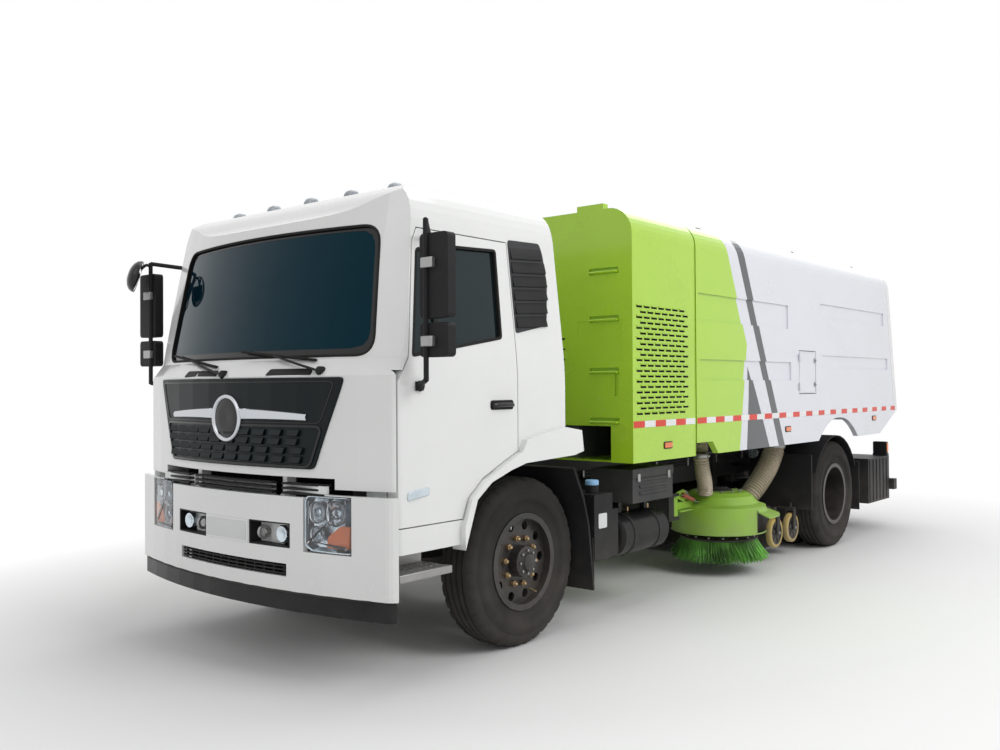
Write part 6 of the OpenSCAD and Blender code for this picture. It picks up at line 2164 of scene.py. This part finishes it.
@dataclass
class Nozzle(Assembly):
    """Skirts, bolts, castor tyres and hose collars of the suction nozzle."""

    low: float = 150
    half: float = 950
    ends: Pair = (3500, 4010)
    castors: tuple[tuple[str, float, float], ...] = (("front", 1085, 3670), ("rear", 1070, 4070))
    castor_z: float = 260
    castor_r: float = 140
    castor_w: float = 55
    turn: float = 0

    def build(self) -> None:
        """Makes the nozzle's dress and its four castors."""
        for side in Side:
            for end, x, y in self.castors:
                self._castor(side, end, x, y)
            self._side(side)
        front, rear = self.ends
        skirt = self.shape()
        for y in (front - 12, rear):
            skirt.box((-self.half + 6, y, 92), (self.half - 6, y + 12, 262))
        skirt.done("nozzle_skirts", "suction_nozzle", self.shop.rubber, 2)
        for index, y in enumerate((front - 14, rear + 14)):
            bolt = Shape(ORIGIN).lathe([(-5, 0.5), (-5, 12), (5, 12), (5, 0.5)], (0, 0, 0), Axis.Y, 6)
            self.pattern.make(self.pattern.grid, bolt, f"skirt_bolts_{index}", "suction_nozzle",
                self.shop.steel, Columns=15, Rows=1, Start=self.datum.place(-910, y, 232),
                Column_Step=(0.130, 0.0, 0.0), Row_Step=(0.0, 0.0, 0.0), Stagger=0.0)

    def _castor(self, side: Side, end: str, x: float, y: float) -> None:
        """A castor with a yellow tyre on a ribbed hub.

        Args:
            side: The side of the truck.
            end: Front or rear.
            x: The castor's x.
            y: Its y.
        """
        body = f"{end}_{side.word}_castor"
        r, w = self.castor_r, self.castor_w / 2
        turn = Matrix.Rotation(math.radians(self.turn), 3, "Z")
        for label, profile, material in (("tyre", [(-w + 2, r - 32), (-w, r - 18), (-w + 4, r - 6),
                (-w + 12, r - 0.5), (w - 12, r - 0.5), (w - 4, r - 6), (w, r - 18), (w - 2, r - 32)],
                self.shop.castor), ("hub", [(-w + 6, 13), (-w + 6, 34), (-w + 16, 40), (-w + 16, r - 46),
                (-w + 3, r - 40), (-w + 3, r - 31), (w - 3, r - 31), (w - 3, r - 40), (w - 16, r - 46),
                (w - 16, 40), (w - 6, 34), (w - 6, 13)], self.shop.rim)):
            wheel = self.shape().lathe(profile, (0, 0, 0), Axis.X, 56)
            if label == "hub":
                for k in range(6):
                    a = math.tau * k / 6
                    c, s = math.cos(a), math.sin(a)
                    wheel.loft([[(v, c * u - s * t, s * u + c * t) for v, t
                        in ((-w + 9, -5), (w - 9, -5), (w - 9, 5), (-w + 9, 5))] for u in (36, r - 42)])
            lift = self.datum.place(x, y, self.castor_z)
            base = self.datum.place(0, 0, 0)
            for vertex in wheel.bm.verts:
                vertex.co = turn @ (vertex.co - base) + lift
            piece = wheel.copy_to(side).done(f"{body}_{label}", body, material, slot="castor_yellow")
            if label == "tyre":
                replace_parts(piece, body)

    def _side(self, side: Side) -> None:
        """Axle ends of the castors, collars under the hoses and the guide's pads.

        Args:
            side: The side of the truck.
        """
        ends = self.shape()
        for _, x, y in self.castors:
            c, s = math.cos(math.radians(self.turn)), math.sin(math.radians(self.turn))
            for out in (-1, 1):
                ends.rod([(x + c * out * a, y + s * out * a, self.castor_z) for a in (43, 56)], 15, 6)
        ends.copy_to(side).done(f"{side.word}_castor_nuts", "suction_nozzle", self.shop.steel, 0.8)
        collar = self.shape().lathe([(468, 93), (468, 128), (480, 128), (480, 112), (512, 108), (512, 101),
            (484, 93)], (800, 3700, 0), Axis.Z, 48)
        collar.copy_to(side).done(f"{side.word}_nozzle_collar", "suction_nozzle", self.shop.chassis, 1)
        flap = self.shape().box((self.half, 3530, 92), (self.half + 10, 3990, 250))
        flap.copy_to(side).done(f"{side.word}_side_skirt", "suction_nozzle", self.shop.rubber, 1.5)


# ---------------------------------------------------------------- hoses


@dataclass
class Hoses(Assembly):
    """Corrugated hoses along set routes, each with a clamp on the chassis."""

    brush_route: tuple[Point, ...] = ((960, 2520, 1249), (960, 2520, 1030), (960, 2530, 960), (956, 2560, 880),
        (948, 2600, 810), (938, 2630, 760), (930, 2650, 700))
    nozzle_route: tuple[Point, ...] = ((920, 4060, 1249), (920, 4060, 1040), (915, 4030, 950), (900, 3950, 830),
        (872, 3840, 710), (835, 3750, 610), (800, 3705, 540), (800, 3700, 500), (800, 3700, 474))
    brush_r: float = 64
    nozzle_r: float = 99

    def _skin(self, shape: Shape, route: Sequence[Point], radius: float, pitch: float,
            flip: float = 1.0) -> None:
        """Adds a corrugated tube along a route.

        Args:
            shape: The shape to add to.
            route: The given points.
            radius: The outer radius.
            pitch: The distance between rings.
            flip: The sign of x.
        """
        path = [Vector(p) for p in smooth_path(route, 40)]
        walked = [0.0]
        for a, b in zip(path, path[1:]):
            walked.append(walked[-1] + (b - a).length)
        count = int(walked[-1] / pitch) * 6
        k, across = 0, Vector((1, 0, 0))
        rings = []
        for i in range(count + 1):
            want = walked[-1] * i / count
            while k < len(path) - 2 and walked[k + 1] < want:
                k += 1
            step = (want - walked[k]) / max(1e-6, walked[k + 1] - walked[k])
            at = path[k].lerp(path[k + 1], step)
            ahead = (path[k + 1] - path[k]).normalized()
            across = (across - ahead * across.dot(ahead)).normalized()
            other = ahead.cross(across)
            r = radius * (0.94 + 0.06 * math.cos(math.tau * i / 6))
            rings.append([(flip * p.x, p.y, p.z) for p in (at + across * (r * math.cos(math.tau * j / 28))
                + other * (r * math.sin(math.tau * j / 28)) for j in range(28))])
        shape.loft(rings)

    def build(self) -> None:
        """Makes the two brush hoses, the two nozzle hoses and their clamps."""
        for side in Side:
            s = side.value
            skin = self.shape()
            self._skin(skin, self.brush_route, self.brush_r, 19, s)
            hose = skin.done(f"{side.word}_brush_hose_skin", "", self.shop.hose, slot="hose_skin", smooth=60)
            self.datum.place(s * 960, 2520, 1030)
            self.datum.place(s * 932, 2640, 730)
            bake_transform(hose)
            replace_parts(hose, f"{side.word}_brush_hose")
            top = self.shape().lathe([(1010, 62), (1010, 70), (1032, 70), (1032, 62)], (960, 2520, 0), Axis.Z,
                40)
            top.box((1020, 2508, 1014), (1036, 2532, 1028))
            top.copy_to(side).done(f"{side.word}_brush_hose_clamp", "chassis", self.shop.steel, 0.8)
        skin = self.shape()
        for side in Side:
            self._skin(skin, self.nozzle_route, self.nozzle_r, 24, side.value)
        pair = skin.done("nozzle_hose_skins", "", self.shop.hose, slot="hose_skin", smooth=60)
        self.datum.place(0, 4060, 1040)
        self.datum.place(0, 3700, 500)
        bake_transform(pair)
        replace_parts(pair, "nozzle_hoses")
        clamps = self.shape()
        for x in (-920, 920):
            clamps.lathe([(1012, 96), (1012, 105), (1036, 105), (1036, 96)], (x, 4060, 0), Axis.Z, 48)
        clamps.done("nozzle_hose_clamps", "chassis", self.shop.steel, 0.8)


# ---------------------------------------------------------------- inside the cab


@dataclass
class Interior(Assembly):
    """Padded seats, wheel and dash trim behind the tinted glass."""

    seat_x: float = 620
    floor: float = 1215

    @staticmethod
    def _pad(shape: Shape, x: float, outline: Sequence[Pair], half: float, seams: int = 3) -> None:
        """Adds one upholstered pad: an outline across the seat, crowned between its two ends.

        Args:
            shape: The shape to add to.
            x: The pad's middle.
            outline: Its section as (y, z).
            half: Half its width.
            seams: How many sewn channels cross it.
        """
        middle = (sum(p[0] for p in outline) / len(outline), sum(p[1] for p in outline) / len(outline))
        steps = 28
        sections = []
        for i in range(steps + 1):
            t = 2 * i / steps - 1
            swell = 1.0 - 0.12 * abs(t) ** 5 - (0.5 if abs(t) == 1 else 0.0)
            for k in range(1, seams + 1):
                swell -= 0.035 * math.exp(-((t - (2 * k / (seams + 1) - 1)) / 0.035) ** 2)
            sections.append([(x + half * t, middle[0] + (y - middle[0]) * swell,
                middle[1] + (z - middle[1]) * swell) for y, z in outline])
        shape.loft(sections)

    def _seat(self, side: Side) -> None:
        """A driver's or passenger's seat: base, three pads and the headrest's posts.

        Args:
            side: The side of the truck.
        """
        x = self.seat_x
        cushion = Cab.dense([(-470, 1475), (-475, 1545), (-430, 1566), (-200, 1556), (20, 1566), (52, 1540),
            (50, 1478), (-200, 1470)], 34)
        back = Cab.dense([(66, 1530), (72, 1800), (110, 2100), (150, 2172), (210, 2172), (236, 2120),
            (180, 1820), (150, 1560), (110, 1515)], 40)
        rest = Cab.dense([(158, 2200), (154, 2300), (170, 2352), (214, 2356), (228, 2310), (226, 2215),
            (200, 2194)], 24)
        pads = self.shape()
        self._pad(pads, x, cushion, 240, 2)
        self._pad(pads, x, back, 230, 2)
        self._pad(pads, x, rest, 134, 1)
        pads.copy_to(side)
        piece = pads.done(f"{side.word}_seat_pads", "cab", self.shop.cloth, slot="seat_cloth", smooth=60)
        self._inflate(piece)
        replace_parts(piece, "seats")
        base = self.shape().prism(rounded((x - 185, -325), (x + 185, -45), 30), Axis.Z, self.floor, 1462)
        base.prism(rounded((x - 205, -400), (x + 205, 30), 30), Axis.Z, 1440, 1472)
        for out in (-60, 60):
            base.rod([(x + out, 192, 2120), (x + out, 192, 2240)], 7, 12)
        base.copy_to(side).done(f"{side.word}_seat_base", "cab", self.shop.trim, 3)

    @staticmethod
    def _inflate(piece: bpy.types.Object) -> None:
        """Lets the pads swell a little under cloth pressure, and caps how far they move.

        Args:
            piece: The pads.
        """
        scene = bpy.context.scene
        remesh = piece.modifiers.new("even", "REMESH")
        remesh.mode = "VOXEL"
        remesh.voxel_size = 0.009
        bpy.context.view_layer.update()
        even = bpy.data.meshes.new_from_object(piece.evaluated_get(bpy.context.evaluated_depsgraph_get()))
        piece.modifiers.remove(remesh)
        material = piece.data.materials[0]
        piece.data = even
        even.materials.clear()
        even.materials.append(material)
        before = [v.co.copy() for v in even.vertices]
        cloth = piece.modifiers.new("swell", "CLOTH")
        cloth.settings.use_pressure = True
        cloth.settings.uniform_pressure_force = 4
        cloth.settings.quality = 4
        cloth.settings.effector_weights.gravity = 0
        for frame in range(1, 11):
            scene.frame_set(frame)
        swollen = bpy.data.meshes.new_from_object(piece.evaluated_get(bpy.context.evaluated_depsgraph_get()))
        piece.modifiers.remove(cloth)
        scene.frame_set(1)
        for old, new, kept in zip(before, swollen.vertices, even.vertices):
            moved = new.co - old
            kept.co = old + moved * min(1.0, 0.012 / max(moved.length, 1e-9))
        bpy.data.meshes.remove(swollen)
        even.shade_smooth()

    def build(self) -> None:
        """Makes the seats, the instrument hood and the horn pad."""
        for side in Side:
            self._seat(side)
        hood = self.shape()
        hood.loft([[(620 + u * w, y, z) for u in (-1, -0.85, -0.4, 0.4, 0.85, 1)]
            + [(620 + u * w, y, z - 22) for u in (1, 0.85, 0.4, -0.4, -0.85, -1)] for w, y,
            z in ((230, -1000, 1772), (238, -960, 1800), (232, -900, 1795), (225, -868, 1770))])
        hood.done("instrument_hood", "cab", self.shop.trim, 2)
        wheel_hub = self.shape().lathe([(0, 0.5), (0, 66), (16, 62), (24, 46), (26, 0.5)], (0, 0, 0), Axis.Z,
            36)
        tilt = Matrix.Rotation(math.radians(-30), 3, "X")
        base = self.datum.place(0, 0, 0)
        lift = self.datum.place(620, -640, 1720)
        for vertex in wheel_hub.bm.verts:
            vertex.co = tilt @ (vertex.co - base) + lift
        wheel_hub.done("horn_pad", "cab", self.shop.plastic, 2)


# ---------------------------------------------------------------- studio


@dataclass
class Studio:
    """Floor, soft lights, white surroundings and the camera."""

    datum: Datum
    eye: Point = (4794.5, -4677.9, 1613.3)
    yaw: float = 0.6953
    pitch: float = 0.0114
    roll: float = -0.0059
    lens: float = 34.52
    floor: Colour = (0.84, 0.84, 0.84)
    fade: Pair = (5.0, 7.5)
    world: float = 0.50
    floor_size: float = 160.0
    lamps: tuple[tuple[str, Point, float, float], ...] = (("key", (9.5, -1.0, 8.0), 6.0, 500),
        ("fill", (1.5, -11.5, 8.5), 7.0, 130), ("back", (-2.0, 9.5, 8.0), 8.0, 260),
        ("top", (0.0, 0.5, 11.0), 9.0, 300))

    def _white_behind(self, n: Nodes) -> object:
        """One where the camera, a reflection or glass looks at a surface.

        Args:
            n: The tree's nodes.

        Returns:
            The share, as a socket.
        """
        path = n.add("ShaderNodeLightPath").outputs
        seen = n.math("MAXIMUM", path["Is Camera Ray"], path["Is Glossy Ray"])
        return n.math("MAXIMUM", seen, path["Is Transmission Ray"])

    def _world(self) -> None:
        """An even pale surround that reads as white behind the truck."""
        world = bpy.data.worlds.new("surround")
        bpy.context.scene.world = world
        world.use_nodes = True
        n = Nodes(world.node_tree)
        back = n.tree.nodes["Background"]
        n.put(back.inputs["Strength"], n.remap(self._white_behind(n), 0.0, 1.0, self.world, 1.0))
        back.inputs["Color"].default_value = (1.0, 1.0, 1.0, 1.0)

    def _floor(self) -> None:
        """A plain pale floor that keeps the truck's shadow and turns white away from it."""
        bpy.ops.mesh.primitive_plane_add(size=self.floor_size)
        plane = bpy.context.object
        plane.name = "floor"
        material = bpy.data.materials.new("pale_floor")
        material.use_nodes = True
        n = Nodes(material.node_tree)
        shader = n.tree.nodes["Principled BSDF"]
        where = n.here()
        tone = n.noise(where, 0.7)
        n.put(shader.inputs["Base Color"], n.blend(n.math("MULTIPLY", tone, 0.06), self.floor, (0.7, 0.7, 0.7)))
        n.feed(shader, Roughness=0.85, Specular_IOR_Level=0.1)
        plain = n.add("ShaderNodeEmission")
        flat = n.vector_math("MULTIPLY", where, (1.0 / self.fade[0], 1.0 / self.fade[1], 1.0))
        distance = n.vector_math("LENGTH", flat.outputs[0])
        far = n.remap(distance.outputs["Value"], 0.62, 1.0, 0.0, 1.0)
        share = n.add("ShaderNodeMixShader")
        n.put(share.inputs[0], n.math("MULTIPLY", far, self._white_behind(n)))
        n.put(share.inputs[1], shader.outputs[0])
        n.put(share.inputs[2], plain.outputs[0])
        n.put(n.tree.nodes["Material Output"].inputs["Surface"], share.outputs[0])
        plane.data.materials.append(material)

    def _light(self, name: str, place: Point, target: Point, size: float, power: float) -> None:
        """A soft square lamp that faces a target.

        Args:
            name: The lamp's name.
            place: Where it hangs, in metres.
            target: What it faces.
            size: Its side.
            power: Its power in watts.
        """
        lamp = bpy.data.lights.new(name, "AREA")
        lamp.shape = "SQUARE"
        lamp.size = size
        lamp.energy = power
        holder = bpy.data.objects.new(name, lamp)
        holder.location = place
        holder.rotation_euler = (Vector(target) - Vector(place)).to_track_quat("-Z", "Y").to_euler()
        bpy.context.scene.collection.objects.link(holder)

    def build(self) -> None:
        """Sets the stage, the lights and the camera."""
        scene = bpy.context.scene
        scene.view_settings.view_transform = "Standard"
        self._world()
        self._floor()
        for name, place, size, power in self.lamps:
            self._light(name, place, (0.0, 0.0, 0.0 if name == "top" else 1.2), size, power)
        data = bpy.data.cameras.new("camera")
        data.lens = self.lens
        data.sensor_width = 36.0
        data.clip_end = 300.0
        camera = bpy.data.objects.new("camera", data)
        cy, sy, cp, sp = math.cos(self.yaw), math.sin(self.yaw), math.cos(self.pitch), math.sin(self.pitch)
        ahead = Vector((-sy * cp, cy * cp, sp))
        right = Vector((cy, sy, 0.0))
        above = right.cross(ahead)
        c, s = math.cos(self.roll), math.sin(self.roll)
        x_axis = right * c + above * s
        y_axis = above * c - right * s
        turn = Matrix((x_axis, y_axis, -ahead)).transposed().to_4x4()
        camera.matrix_world = Matrix.Translation(self.datum.place(*self.eye)) @ turn
        scene.collection.objects.link(camera)
        scene.camera = camera


# ---------------------------------------------------------------- all of it


def main() -> None:
    """Loads the frame, dresses it and builds each sub-assembly in order."""
    logging.basicConfig(level=logging.INFO, format="%(name)s: %(message)s")
    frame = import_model()
    datum = Datum.of_frame()
    shop = PaintShop(datum)
    shop.dress(frame["nodes"])
    pattern = Pattern()
    for kind in (Wheels, Cab, FrontEnd, Body, Underside, Brushes, Nozzle, Hoses, Interior):
        log.info("building %s", kind.__name__)
        kind(datum, shop, pattern).build()
    Studio(datum).build()


if __name__ == "__main__":
    main()
